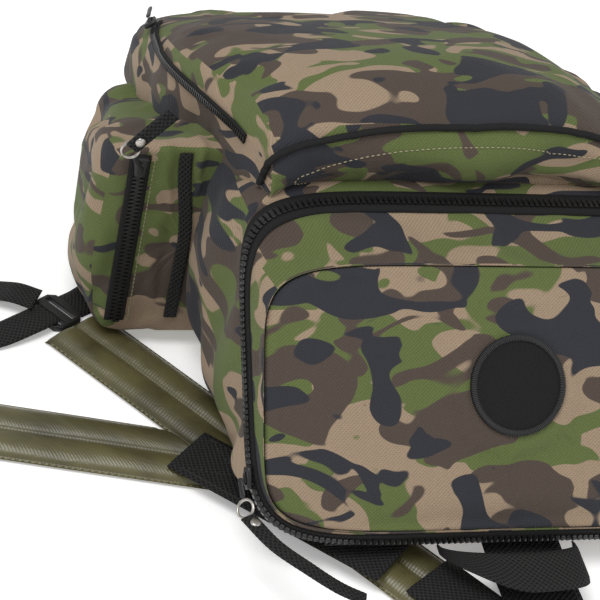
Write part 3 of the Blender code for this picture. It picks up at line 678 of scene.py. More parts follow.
def coordinates(piece: Piece) -> Array:
    """The piece's points, one in each row."""
    flat = np.empty(len(piece.data.vertices) * 3, np.float32)
    piece.data.vertices.foreach_get("co", flat)
    return flat.reshape(-1, 3).astype(float)


def place_points(piece: Piece, points: Array) -> None:
    """Moves the piece's points to these places."""
    piece.data.vertices.foreach_set("co", points.astype(np.float32).ravel())
    piece.data.update()


def normals_of(piece: Piece) -> Array:
    """The piece's point normals, one in each row."""
    flat = np.empty(len(piece.data.vertices) * 3, np.float32)
    piece.data.vertex_normals.foreach_get("vector", flat)
    return flat.reshape(-1, 3).astype(float)


def thicken(piece: Piece, wall: float, levels: int = 1) -> Piece:
    """Gives a cloth its thickness inwards and rounds its facets.

    Args:
        piece: the cloth.
        wall: its thickness.
        levels: the subdivision's levels.

    Returns:
        The piece.
    """
    solidify = piece.modifiers.new("thickness", "SOLIDIFY")
    solidify.thickness = wall
    solidify.offset = -1
    if levels:
        smooth = piece.modifiers.new("rounding", "SUBSURF")
        smooth.levels = levels
        smooth.render_levels = levels
    return piece


def surface_of(piece: Piece) -> BVHTree:
    """A search tree of the piece's own mesh."""
    polygons = [tuple(p.vertices) for p in piece.data.polygons]
    return BVHTree.FromPolygons([v.co.copy() for v in piece.data.vertices], polygons)


def tangents(path: Array, closed: bool = False) -> Array:
    """Unit directions along a path.

    Args:
        path: the path's points.
        closed: whether it returns to its start.

    Returns:
        One direction for each point.
    """
    if closed:
        way = np.roll(path, -1, axis=0) - np.roll(path, 1, axis=0)
    else:
        way = np.gradient(path, axis=0)
    return way / np.maximum(np.linalg.norm(way, axis=1, keepdims=True), 1e-9)


def ribbon(
    name: str, path: Array, outs: Array, width: float, thick: float, finish: Material, ribs: float = 0.0
) -> Piece:
    """A flat woven tape along a path, with soft edges.

    Args:
        name: the piece's name.
        path: its middle line.
        outs: its face's direction, or one direction for each point.
        width: its width.
        thick: its thickness.
        finish: its material.
        ribs: the distance between its cross ribs, or 0 for none.

    Returns:
        The tape.
    """
    along = tangents(path)
    outs = outs - along * np.sum(outs * along, axis=1, keepdims=True)
    outs = outs / np.linalg.norm(outs, axis=1, keepdims=True)
    side = np.cross(along, outs)
    swell = 1 + 0.25 * np.sin(2 * math.pi * distances(path) / ribs) if ribs else np.ones(len(path))
    columns = [path + side * (width / 2 * s) + outs * (h * swell)[:, None] for s, h in tape_section(thick)]
    return Skin().bar(np.stack(columns, axis=1), tape_map(path, width, thick)).build(name, finish)


def tape_section(thick: float) -> list[tuple[float, float]]:
    """A tape's section as shares of its half width and heights, counter-clockwise."""
    top = [(s, thick / 2 * (1 - 0.7 * abs(s) ** 10)) for s in np.linspace(1, -1, 9)]
    return top + [(-s, -h) for s, h in top]


def tape_map(path: Array, width: float, thick: float) -> Array:
    """Where a tape lies on its cloth: how far along it and how far across it.

    Args:
        path: the tape's middle line.
        width: its width.
        thick: its thickness.

    Returns:
        The places of its section's points, the first point again at the end.
    """
    length, shares = distances(path), [s for s, _ in tape_section(thick)]
    columns = [np.column_stack([length, np.full(len(path), width / 2 * s)]) for s in shares + shares[:1]]
    return np.stack(columns, axis=1)


def tube(name: str, path: Array, radius: float, finish: Material, sides: int = 12) -> Piece:
    """A round cord along a path.

    Args:
        name: the piece's name.
        path: its middle line.
        radius: its radius.
        finish: its material.
        sides: points around it.

    Returns:
        The cord.
    """
    along = tangents(path)
    side = np.cross(along, UP)
    side /= np.linalg.norm(side, axis=1, keepdims=True)
    up = np.cross(side, along)
    turn = np.linspace(0, 2 * math.pi, sides, endpoint=False)
    round_ = side[:, None] * np.cos(turn)[:, None] + up[:, None] * np.sin(turn)[:, None]
    rows = path[:, None] + radius * round_
    return Skin().bar(rows).build(name, finish)


@dataclass(frozen=True)
class Settle:
    """A short cloth simulation that lets a sewn panel slacken and fold."""

    grow: float = 0.02
    pressure: float = 0.0
    gravity: float = 0.4
    frames: int = 24
    most: float = 0.008
    bending: float = 0.6
    fold: float = 0.055
    fold_depth: float = 0.0018

    def run(self, piece: Piece, sewn: Array) -> None:
        """Simulates the piece and keeps the result in its mesh.

        Args:
            piece: the cloth, with no modifiers.
            sewn: how firmly each point is held, 0 to 1.
        """
        start = coordinates(piece)
        folds = ripple(start, self.fold, self.fold_depth, len(start)) * (1 - sewn)
        place_points(piece, start + normals_of(piece) * folds[:, None])
        group = piece.vertex_groups.new(name="sewn")
        for level in np.unique(np.round(sewn, 1)):
            if level > 0:
                found = np.nonzero(np.round(sewn, 1) == level)[0]
                group.add([int(k) for k in found], float(level), "REPLACE")
        cloth = piece.modifiers.new("settle", "CLOTH")
        held = cloth.settings
        held.quality = 5
        held.mass = 0.15
        held.vertex_group_mass = "sewn"
        held.tension_stiffness = 18
        held.compression_stiffness = 12
        held.shear_stiffness = 6
        held.bending_stiffness = self.bending
        held.air_damping = 2
        held.shrink_min = -self.grow
        held.use_pressure = self.pressure != 0
        held.uniform_pressure_force = self.pressure
        held.effector_weights.gravity = self.gravity
        cloth.collision_settings.use_collision = False
        cloth.point_cache.frame_start = 1
        cloth.point_cache.frame_end = self.frames
        scene = bpy.context.scene
        for frame in range(1, self.frames + 1):
            scene.frame_set(frame)
        graph = bpy.context.evaluated_depsgraph_get()
        result = piece.evaluated_get(graph)
        moved = np.empty(len(start) * 3, np.float32)
        result.data.vertices.foreach_get("co", moved)
        away = moved.reshape(-1, 3).astype(float) - start
        far = np.linalg.norm(away, axis=1, keepdims=True)
        away *= np.minimum(1, self.most / np.maximum(far, 1e-9))
        piece.modifiers.remove(cloth)
        piece.vertex_groups.remove(group)
        scene.frame_set(1)
        place_points(piece, start + np.nan_to_num(away))


# Rows of stitches and zip teeth


class RowTree:
    """Geometry Nodes that repeat a stitch or a zip tooth on marked points."""

    def __init__(self, kind: Row) -> None:
        """Builds the tree.

        Args:
            kind: what the row repeats.
        """
        self.tree = bpy.data.node_groups.new(f"row_of_{kind.value}", "GeometryNodeTree")
        face = self.tree.interface
        face.new_socket("Points", in_out="INPUT", socket_type="NodeSocketGeometry")
        for name, value in (("Length", 0.003), ("Width", 0.001), ("Height", 0.001)):
            face.new_socket(name, in_out="INPUT", socket_type="NodeSocketFloat").default_value = value
        face.new_socket("Finish", in_out="INPUT", socket_type="NodeSocketMaterial")
        face.new_socket("Row", in_out="OUTPUT", socket_type="NodeSocketGeometry")
        start, end = self.node("NodeGroupInput"), self.node("NodeGroupOutput")
        size = self.node("ShaderNodeCombineXYZ")
        for k, name in enumerate(("Length", "Width", "Height")):
            self.join(start.outputs[name], size.inputs[k])
        spots = self.node("GeometryNodeMeshToPoints")
        self.join(start.outputs["Points"], spots.inputs["Mesh"])
        turn = self.facing()
        copies = self.node("GeometryNodeInstanceOnPoints")
        self.join(spots.outputs["Points"], copies.inputs["Points"])
        self.join(self.stitch() if kind is Row.STITCH else self.tooth(), copies.inputs["Instance"])
        self.join(turn, copies.inputs["Rotation"])
        self.join(size.outputs[0], copies.inputs["Scale"])
        real = self.node("GeometryNodeRealizeInstances")
        self.join(copies.outputs[0], real.inputs[0])
        paint = self.node("GeometryNodeSetMaterial")
        self.join(real.outputs[0], paint.inputs["Geometry"])
        self.join(start.outputs["Finish"], paint.inputs["Material"])
        self.join(paint.outputs[0], end.inputs[0])

    def node(self, kind: str) -> bpy.types.Node:
        """Adds a node of this type."""
        return self.tree.nodes.new(kind)

    def join(self, source: Socket, target: Socket) -> None:
        """Joins two sockets."""
        self.tree.links.new(source, target)

    def facing(self) -> Socket:
        """A turn from the points' own directions along the row and out of the surface.

        Returns:
            The turn's socket.
        """
        turned = None
        for name, axis, pivot in (("along", "X", "AUTO"), ("out", "Z", "X")):
            way = self.node("GeometryNodeInputNamedAttribute")
            way.data_type = "FLOAT_VECTOR"
            way.inputs["Name"].default_value = name
            align = self.node("FunctionNodeAlignRotationToVector")
            align.axis = axis
            align.pivot_axis = pivot
            self.join(way.outputs["Attribute"], align.inputs["Vector"])
            if turned is not None:
                self.join(turned, align.inputs["Rotation"])
            turned = align.outputs[0]
        return turned

    def stitch(self) -> Socket:
        """A rounded stitch of unit size."""
        ball = self.node("GeometryNodeMeshIcoSphere")
        ball.inputs["Radius"].default_value = 0.5
        ball.inputs["Subdivisions"].default_value = 2
        smooth = self.node("GeometryNodeSetShadeSmooth")
        self.join(ball.outputs["Mesh"], smooth.inputs[0])
        return smooth.outputs[0]

    def tooth(self) -> Socket:
        """A moulded tooth of unit size: a foot on the tape and a narrower head."""
        both = self.node("GeometryNodeJoinGeometry")
        for size, shift in (((1.0, 0.72, 0.8), (0, -0.14, 0)), ((0.6, 0.62, 1.0), (0, 0.20, 0))):
            box = self.node("GeometryNodeMeshCube")
            box.inputs["Size"].default_value = size
            moved = self.node("GeometryNodeTransform")
            self.join(box.outputs["Mesh"], moved.inputs["Geometry"])
            moved.inputs["Translation"].default_value = shift
            self.join(moved.outputs[0], both.inputs[0])
        return both.outputs[0]


@dataclass
class Sewing:
    """Makes rows of stitches and teeth as plain meshes."""

    trees: dict[Row, RowTree] = field(default_factory=lambda: {kind: RowTree(kind) for kind in Row})

    def row(
        self,
        name: str,
        kind: Row,
        path: Array,
        outs: Array,
        sizes: tuple[float, float, float],
        pitch: float,
        finish: Material,
        start: float = 0.0,
        flip: bool = False,
    ) -> Piece:
        """Makes one row.

        Args:
            name: the piece's name.
            kind: what the row repeats.
            path: its line.
            outs: the surface's direction, or one for each of the line's points.
            sizes: one copy's length, width and height.
            pitch: the distance between two copies.
            finish: the material.
            start: the first copy's place along the line.
            flip: whether copies face the other way across the line.

        Returns:
            The row as a mesh.
        """
        lengths = distances(path)
        wanted = np.arange(start, lengths[-1], pitch)
        tables = (path, tangents(path), np.broadcast_to(outs, path.shape))
        points, along, facing = (sampled(values, lengths, wanted) for values in tables)
        mesh = bpy.data.meshes.new(name + "_marks")
        mesh.from_pydata(points.tolist(), [], [])
        for word, values in (("along", -along if flip else along), ("out", facing)):
            layer = mesh.attributes.new(word, "FLOAT_VECTOR", "POINT")
            layer.data.foreach_set("vector", values.astype(np.float32).ravel())
        marks = linked(name + "_marks", mesh)
        modifier = marks.modifiers.new("row", "NODES")
        modifier.node_group = self.trees[kind].tree
        face = modifier.node_group.interface.items_tree
        sockets = {s.name: s.identifier for s in face if s.in_out == "INPUT"}
        for word, value in zip(("Length", "Width", "Height"), sizes):
            modifier[sockets[word]] = value
        modifier[sockets["Finish"]] = finish
        graph = bpy.context.evaluated_depsgraph_get()
        result = bpy.data.meshes.new_from_object(marks.evaluated_get(graph))
        bpy.data.objects.remove(marks)
        result.name = name
        for layer in [a.name for a in result.attributes if a.name in ("along", "out")]:
            result.attributes.remove(result.attributes[layer])
        return linked(name, result)


# The bag's forms


def at(x: float, t: float, z: float) -> Array:
    """The point at x, distance t from the top edge, and height z."""
    return np.array([x, TOP_Y + t, z])


def unit(way: Sequence[float]) -> Array:
    """The direction at length one."""
    way = np.array(way, float)
    return way / np.linalg.norm(way)


def hand_in(piece: Piece, body: str, slot: str, *nodes: str) -> Piece:
    """Joins a piece to its body and hides the solids that it stands for.

    Args:
        piece: the piece.
        body: the body it moves with.
        slot: not used.
        nodes: the solids that it replaces.

    Returns:
        The piece.
    """
    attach(piece, body)
    if nodes:
        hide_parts(*nodes)
    LOG.info("%s rides on %s", piece.name, body)
    return piece


@dataclass
class BagForm:
    """The main compartment's outline, which the other pieces are sewn to."""

    seat: float = 0.0113
    height: float = 0.430
    half_top: float = 0.158
    half_bottom: float = 0.166
    front_top: float = 0.166
    front_bottom: float = 0.116
    squareness: float = 6.0
    mouth_run: float = 0.147
    mouth_back: float = 0.022
    mouth_front: float = 0.160

    def stations(self) -> Array:
        """Back t and z, front t and z, and half width of each ring, from the mouth to the bottom."""
        made = [
            (0, self.mouth_back, self.mouth_run, self.mouth_front, self.half_top),
            (0.020, self.seat + 0.002, self.mouth_run + 0.016, self.front_top, self.half_top + 0.001),
        ]
        for u in np.linspace(0, 1, 7):
            back = 0.055 + (self.height - 0.069) * u
            front = self.mouth_run + 0.052 + (self.height - self.mouth_run - 0.060) * u
            rise = self.front_top + (self.front_bottom - self.front_top) * u**1.25
            half = self.half_top + 0.003 + (self.half_bottom - self.half_top - 0.003) * u
            made.append((back, self.seat, front, rise, half))
        edge = self.height - 0.003
        low, half = self.front_bottom, self.half_bottom
        made.append((edge, self.seat + 0.006, edge, low - 0.005, half - 0.006))
        made.append((self.height, self.seat + 0.016, self.height, low - 0.014, half - 0.018))
        return np.array(made)

    def ring(self, station: Array, grow: float, count: int) -> Array:
        """One ring of the compartment.

        Args:
            station: back t and z, front t and z, half width.
            grow: how far it is grown in its own plane.
            count: how many points.

        Returns:
            The ring's points.
        """
        back, front = at(0, station[0], station[1]), at(0, station[2], station[3])
        reach = front - back
        length = np.linalg.norm(reach)
        outline = squared(station[4] + grow, length / 2 + grow, self.squareness, count)
        return (back + front) / 2 + outline[:, :1] * ACROSS + outline[:, 1:] * (reach / length)

    def front_height(self, t: float | Array) -> float | Array:
        """Height of the front panel on the centre line at t."""
        line = self.stations()
        return np.interp(t, line[:, 2], line[:, 3])

    @property
    def mouth_along(self) -> Array:
        """The mouth's slope from its back edge to its front edge."""
        return unit((0, self.mouth_run, self.mouth_front - self.mouth_back))

    @property
    def mouth_out(self) -> Array:
        """The direction out of the mouth."""
        return unit((0, self.mouth_back - self.mouth_front, self.mouth_run))

    def mouth_ring(self, out: float, grow: float, count: int) -> Array:
        """A ring round the mouth."""
        return self.ring(self.stations()[0], grow, count) + self.mouth_out * out


def capped(skin: Skin, ring: Array, flat_axes: tuple[int, int], puff: Array, steps: int = 9) -> Skin:
    """Closes a ring with smaller rings towards its middle.

    Args:
        skin: the skin that the ring ends.
        ring: the ring's points.
        flat_axes: the two axes that lay the cap flat on the cloth.
        puff: how far the middle stands out.
        steps: how many rings.

    Returns:
        The skin.
    """
    middle = ring.mean(axis=0)
    shares = np.linspace(1, 0, steps)
    rows = np.stack([middle + (ring - middle) * s + puff * (1 - s**2) for s in shares])
    closed = np.concatenate([rows, rows[:, :1]], axis=1)
    return skin.grid(rows, closed=True, flat=closed[:, :, list(flat_axes)])


@dataclass
class MainCompartment:
    """The bag's main shell, the pad that it lies on, the board in its bottom and the lower tabs."""

    form: BagForm
    finishes: Finishes
    rows: int = 66
    columns: int = 180
    wall: float = 0.0012
    pad_half: float = 0.098
    pad_length: float = 0.265

    def build(self) -> Piece:
        """Builds and settles the shell.

        Returns:
            The shell.
        """
        stations = curve_through(self.form.stations(), self.rows)
        rings = np.stack([self.form.ring(s, 0, self.columns) for s in stations])
        skin = Skin().grid(rings, closed=True)
        capped(skin, rings[-1], (0, 2), np.array([0, 0.001, 0]), 10)
        shell = skin.build("main_shell_cloth", Camouflage("body", (0.31, 0.12)).material())
        map_panels(shell, np.eye(3), np.zeros(3), 1.4)
        settle = Settle(grow=0.03, pressure=0.8, gravity=0.1, most=0.006, fold_depth=0.0028)
        settle.run(shell, self.sewn(coordinates(shell)))
        return shell

    def sewn(self, points: Array) -> Array:
        """How firmly each point is held: at the mouth, on the floor, under the pockets and at the tabs.

        Args:
            points: the shell's points.

        Returns:
            A share from 0 to 1 for each point.
        """
        form = self.form
        t, z, side = points[:, 1] - TOP_Y, points[:, 2], np.abs(points[:, 0])
        depth = -(points - at(0, 0, form.mouth_back)) @ form.mouth_out
        held = (depth < 0.005) | (z < form.seat + 0.003)
        # Under the front pocket, under the side pockets and at the lower tabs
        held |= (t > 0.150) & (t < 0.410) & (z > form.front_height(t) - 0.004) & (side < 0.150)
        held |= (t > 0.208) & (t < 0.374) & (z > 0.014) & (z < form.front_height(t) - 0.012) & (side > 0.12)
        held |= (t > 0.380) & (t < 0.425) & (z < 0.05)
        return held.astype(float)

    def pad(self) -> Piece:
        """The pad under the back, of foam in black mesh."""
        turns = ((0, 0), (0.90, 0), (0.965, 0.0012), (0.992, 0.0034), (1.0, 0.0056))
        turns += ((0.992, 0.0080), (0.965, 0.0098), (0.90, 0.0110), (0, 0.0110))
        outline = squared(self.pad_half, self.pad_length / 2, self.form.squareness, 96)
        rows = np.stack([np.column_stack([outline * share, np.full(96, z)]) for share, z in turns])
        skin = Skin().grid(rows, closed=True, flat=np.concatenate([rows, rows[:, :1]], axis=1)[:, :, :2])
        return skin.build("back_pad_foam", self.finishes.foam)

    def dress(self, nodes: dict[str, Piece]) -> None:
        """Builds everything that stays with the shell.

        Args:
            nodes: the solids by name.
        """
        shell = thicken(self.build(), self.wall)
        hand_in(shell, "bag", "camouflage_cloth", "main_shell")
        pad = hand_in(self.pad(), "bag", "black_mesh_foam", "back_pad")
        cloth = Camouflage("tabs", (0.77, 0.41)).material()
        for side in Side:
            name = f"lower_tab_{side.word}"
            tab = softened(nodes[name], f"{name}_cloth", 0.0012, cloth)
            hand_in(tab, "bag", "camouflage_cloth", name)
        repaint(nodes["base_board"], self.finishes.plastic)


def softened(
    node: Piece, name: str, bevel: float, finish: Material
) -> Piece:
    """A copy of a solid with rounded edges and a UV map in metres.

    Args:
        node: the solid.
        name: the copy's name.
        bevel: the rounding's width.
        finish: its material.

    Returns:
        The copy.
    """
    work = bmesh.new()
    work.from_mesh(node.data)
    bmesh.ops.remove_doubles(work, verts=work.verts, dist=1e-5)
    bmesh.ops.dissolve_limit(work, angle_limit=math.radians(2), verts=work.verts, edges=work.edges)
    sharp = [e for e in work.edges if len(e.link_faces) == 2 and e.calc_face_angle() > math.radians(25)]
    settings = {"segments": 3, "affect": "EDGES", "profile": 0.5, "clamp_overlap": True}
    bmesh.ops.bevel(work, geom=sharp, offset=bevel, **settings)
    bmesh.ops.triangulate(work, faces=[f for f in work.faces if len(f.verts) > 4])
    layer = work.loops.layers.uv.new("Cloth")
    for face in work.faces:
        for corner in face.loops:
            place = corner.vert.co
            corner[layer].uv = (place.x, place.y + place.z)
    mesh = bpy.data.meshes.new(name)
    work.to_mesh(mesh)
    work.free()
    mesh.shade_smooth()
    mesh.set_sharp_from_angle(angle=math.radians(40))
    mesh.materials.append(finish)
    return linked(name, mesh)


def repaint(node: Piece, finish: Material) -> None:
    """Gives a kept solid a better material."""
    for slot in node.material_slots:
        slot.material = finish


@dataclass
class Lid:
    """The lid: a panel with a gusset round it, the zip round its edge and the bare round patch."""

    form: BagForm
    finishes: Finishes
    sewing: Sewing
    half: float = 0.154
    length: float = 0.157
    tilt: float = math.radians(39.1)
    back_t: float = -0.004
    back_z: float = 0.032
    crown: float = 0.008
    flat_share: float = 0.72
    columns: int = 170
    zip_points: int = 510
    patch_radius: float = 0.030
    patch_rise: float = 0.0075
    tape: float = 0.0032
    tape_width: float = 0.0082
    pitch: float = 0.0036

    @property
    def along(self) -> Array:
        """The lid's slope from its back edge to its front edge."""
        return np.array([0, math.sin(self.tilt), math.cos(self.tilt)])

    @property
    def out(self) -> Array:
        """The direction out of the lid."""
        return np.array([0, -math.cos(self.tilt), math.sin(self.tilt)])

    @property
    def middle(self) -> Array:
        """The middle of the lid's edge."""
        return at(0, self.back_t, self.back_z) + self.along * (self.length / 2)

    def ring(self, share: float, out: float, count: int = 0) -> Array:
        """A ring of the lid at this share of its size, this far out."""
        count = count or self.columns
        outline = squared(self.half * share, self.length / 2 * share, self.form.squareness, count)
        return self.middle + outline[:, :1] * ACROSS + outline[:, 1:] * self.along + self.out * out

    def rise(self, share: float) -> float:
        """The panel's height above its edge at this share of its size."""
        fall = max(0.0, (share - self.flat_share) / (1 - self.flat_share))
        return self.crown * (1 - fall**2)

    def panel(self) -> Piece:
        """The printed panel inside the seam.

        Returns:
            The settled panel.
        """
        shares = np.concatenate([[0.990, 0.988], np.linspace(0.98, 0, 31)])
        lifts = [self.rise(s) for s in shares]
        lifts[0] = -0.0035
        lifts[1] = -0.0008
        rows = np.stack([self.ring(s, lift) for s, lift in zip(shares, lifts)])
        flat = np.stack([rows[:, :, 0], (rows - self.middle) @ self.along], axis=2)
        flat = np.concatenate([flat, flat[:, :1]], axis=1)
        cloth = Camouflage("lid", (0.0, 0.0)).material()
        panel = Skin().grid(rows, closed=True, flat=flat).build("lid_panel", cloth)
        points = coordinates(panel)
        away = points - self.middle
        a, b = np.abs(away[:, 0]) / self.half, np.abs(away @ self.along) / (self.length / 2)
        share = (a**self.form.squareness + b**self.form.squareness) ** (1 / self.form.squareness)
        near = np.linalg.norm(away - self.along * self.patch_rise - self.out * self.crown, axis=1)
        sewn = (share > 0.955) | (near < self.patch_radius + 0.006)
        settle = Settle(0.012, 0.2, 0.1, most=0.0035, bending=1.2, fold_depth=0.0008)
        settle.run(panel, sewn.astype(float))
        return panel

    def gusset(self) -> Piece:
        """The strip of cloth between the zip and the seam.

        Returns:
            The settled strip.
        """
        every = self.zip_points // self.columns
        line, across, face, seam = (values[::every] for values in self.zip_line(Half.LID))
        first = line + across * (self.tape_reach(line, seam) - 0.0012)[:, None] - face * 0.0008
        last = self.ring(1.0, -0.0004)
        rows = [first + (last - first) * u for u in np.linspace(0, 1, 9)]
        rows += [self.ring(0.9985, 0.0010), self.ring(0.9945, 0.0008), self.ring(0.9925, -0.0030)]
        skin = Skin().grid(np.stack(rows), closed=True)
        strip = skin.build("lid_gusset", Camouflage("gusset", (0.52, 0.33), 0.4).material())
        map_panels(strip, np.stack([ACROSS, self.along, self.out]), self.middle)
        points = coordinates(strip)
        held = np.vstack([first, last])
        edge = np.min(np.linalg.norm(points[:, None] - held[None], axis=2), axis=1)
        sewn = edge < 0.0045
        settle = Settle(grow=0.03, gravity=0.2, most=0.0035, fold=0.035, fold_depth=0.0010)
        settle.run(strip, sewn.astype(float))
        return strip

    def patch(self) -> list[Piece]:
        """The bare woven patch and the thread round its rim.

        Returns:
            The patch and its rim.
        """
        foot = self.middle + self.along * self.patch_rise + self.out * (self.crown + GAP)
        turn = np.linspace(0, 2 * math.pi, 96, endpoint=False)
        round_ = np.cos(turn)[:, None] * ACROSS + np.sin(turn)[:, None] * self.along
        edge = self.patch_radius
        profile = [(0, 0.0010), (edge * 0.45, 0.0011), (edge * 0.86, 0.0010), (edge * 0.885, 0.0013)]
        profile += [(edge * 0.915, 0.0020), (edge * 0.955, 0.0022), (edge * 0.985, 0.0017)]
        profile += [(edge, 0.0007), (edge, -GAP)]
        rows = np.stack([foot + round_ * r + self.out * h for r, h in profile])
        flat = np.stack([(rows - foot) @ ACROSS, (rows - foot) @ self.along], axis=2)
        flat = np.concatenate([flat, flat[:, :1]], axis=1)
        disc = Skin().grid(rows, closed=True, flat=flat).build("lid_patch_twill", self.finishes.patch)
        path = foot + np.vstack([round_, round_[:1]]) * (edge * 0.94) + self.out * 0.0019
        sizes, thread = (0.0011, 0.0042, 0.0011), self.finishes.black_thread
        rim = self.sewing.row("lid_patch_rim", Row.STITCH, path, self.out, sizes, 0.00105, thread)
        return [disc, rim]

    def zip_line(self, half: Half) -> tuple[Array, Array, Array, Array]:
        """The zip's middle line round the mouth, with the tape's direction and face at each point.

        Args:
            half: the half of the zip, on the lid or on the bag.

        Returns:
            The line, the way across the tape to the lid, the way out of the tape and the lid's seam.
        """
        form = self.form
        line = form.mouth_ring(GAP + self.tape + GAP, 0.0005, self.zip_points)
        seam = self.ring(1.0, -0.0004, self.zip_points)
        way = tangents(line, closed=True)
        wall = np.cross(way, form.mouth_out)
        across = seam - line
        across = across / np.linalg.norm(across, axis=1, keepdims=True)
        if half is Half.BAG:
            share = ease((wall @ form.mouth_along + 0.3) / 1.1)[:, None]
            across = across * share + form.mouth_out * (1 - share)
            across = across / np.linalg.norm(across, axis=1, keepdims=True)
        face = np.cross(way, across)
        return line, across, face / np.linalg.norm(face, axis=1, keepdims=True), seam

    def tape_reach(self, line: Array, seam: Array) -> Array:
        """How far the lid's tape reaches at each point, which stops short of the seam."""
        return np.minimum(self.tape_width, 0.88 * np.linalg.norm(seam - line, axis=1))

    def zip_half(self, half: Half) -> tuple[Piece, Piece]:
        """One half of the main zip.

        Args:
            half: the half of the zip, on the lid or on the bag.

        Returns:
            Its tape and its row of teeth.
        """
        line, across, face, seam = self.zip_line(half)
        reach = self.tape_reach(line, seam) if half is Half.LID else np.full(len(line), self.tape_width)
        rows = []
        for share, lift in ((1, -0.0010), (1, 0.0003), (0.5, 0.0007), (0, 0.0004), (0, -0.0010)):
            shift = half.value * (GAP + (reach - GAP) * share)
            rows.append(line + across * shift[:, None] + face * lift)
        tape = Skin().grid(np.stack(rows), closed=True).build(f"zip_tape_of_{half.word}", self.finishes.tape)
        path = line + across * (half.value * 0.0010) + face * 0.0009
        path, outs = np.vstack([path, path[:1]]), np.vstack([face, face[:1]])
        start = self.pitch / 2 if half is Half.LID else 0.0
        name, sizes = f"zip_teeth_of_{half.word}", (0.0023, 0.0042, 0.0024)
        look, flip = self.finishes.teeth, half is Half.LID
        row = self.sewing.row(name, Row.TOOTH, path, outs, sizes, self.pitch, look, start, flip)
        return tape, row

    def dress(self) -> None:
        """Builds everything on the lid and round its edge."""
        panel = thicken(self.panel(), CLOTH)
        hand_in(panel, "lid", "camouflage_cloth", "lid_shell")
        hand_in(thicken(self.gusset(), CLOTH), "lid", "camouflage_cloth", "lid_shell")
        disc, rim = self.patch()
        hand_in(disc, "lid", "woven_patch", "lid_patch")
        hand_in(rim, "lid", "woven_patch")
        for half, node in ((Half.BAG, "main_zip_body_tape"), (Half.LID, "main_zip_lid_tape")):
            tape, row = self.zip_half(half)
            hand_in(tape, half.word, "zip_tape", node)
            hand_in(row, half.word, "black_plastic")
        hinge = at(0, 0, self.form.mouth_back) + self.form.mouth_out * (GAP + self.tape / 2)
        foot = hinge - self.form.mouth_along * (GAP + 0.0008)
        reach = self.form.half_top * 0.72
        path = np.stack([foot + ACROSS * x for x in np.linspace(-reach, reach, 40)])
        look = self.finishes.webbing
        strip = ribbon("lid_hinge_tape", path, self.form.mouth_along, self.tape, 0.0016, look)
        hand_in(strip, "bag", "black_webbing", "lid_hinge_strip")


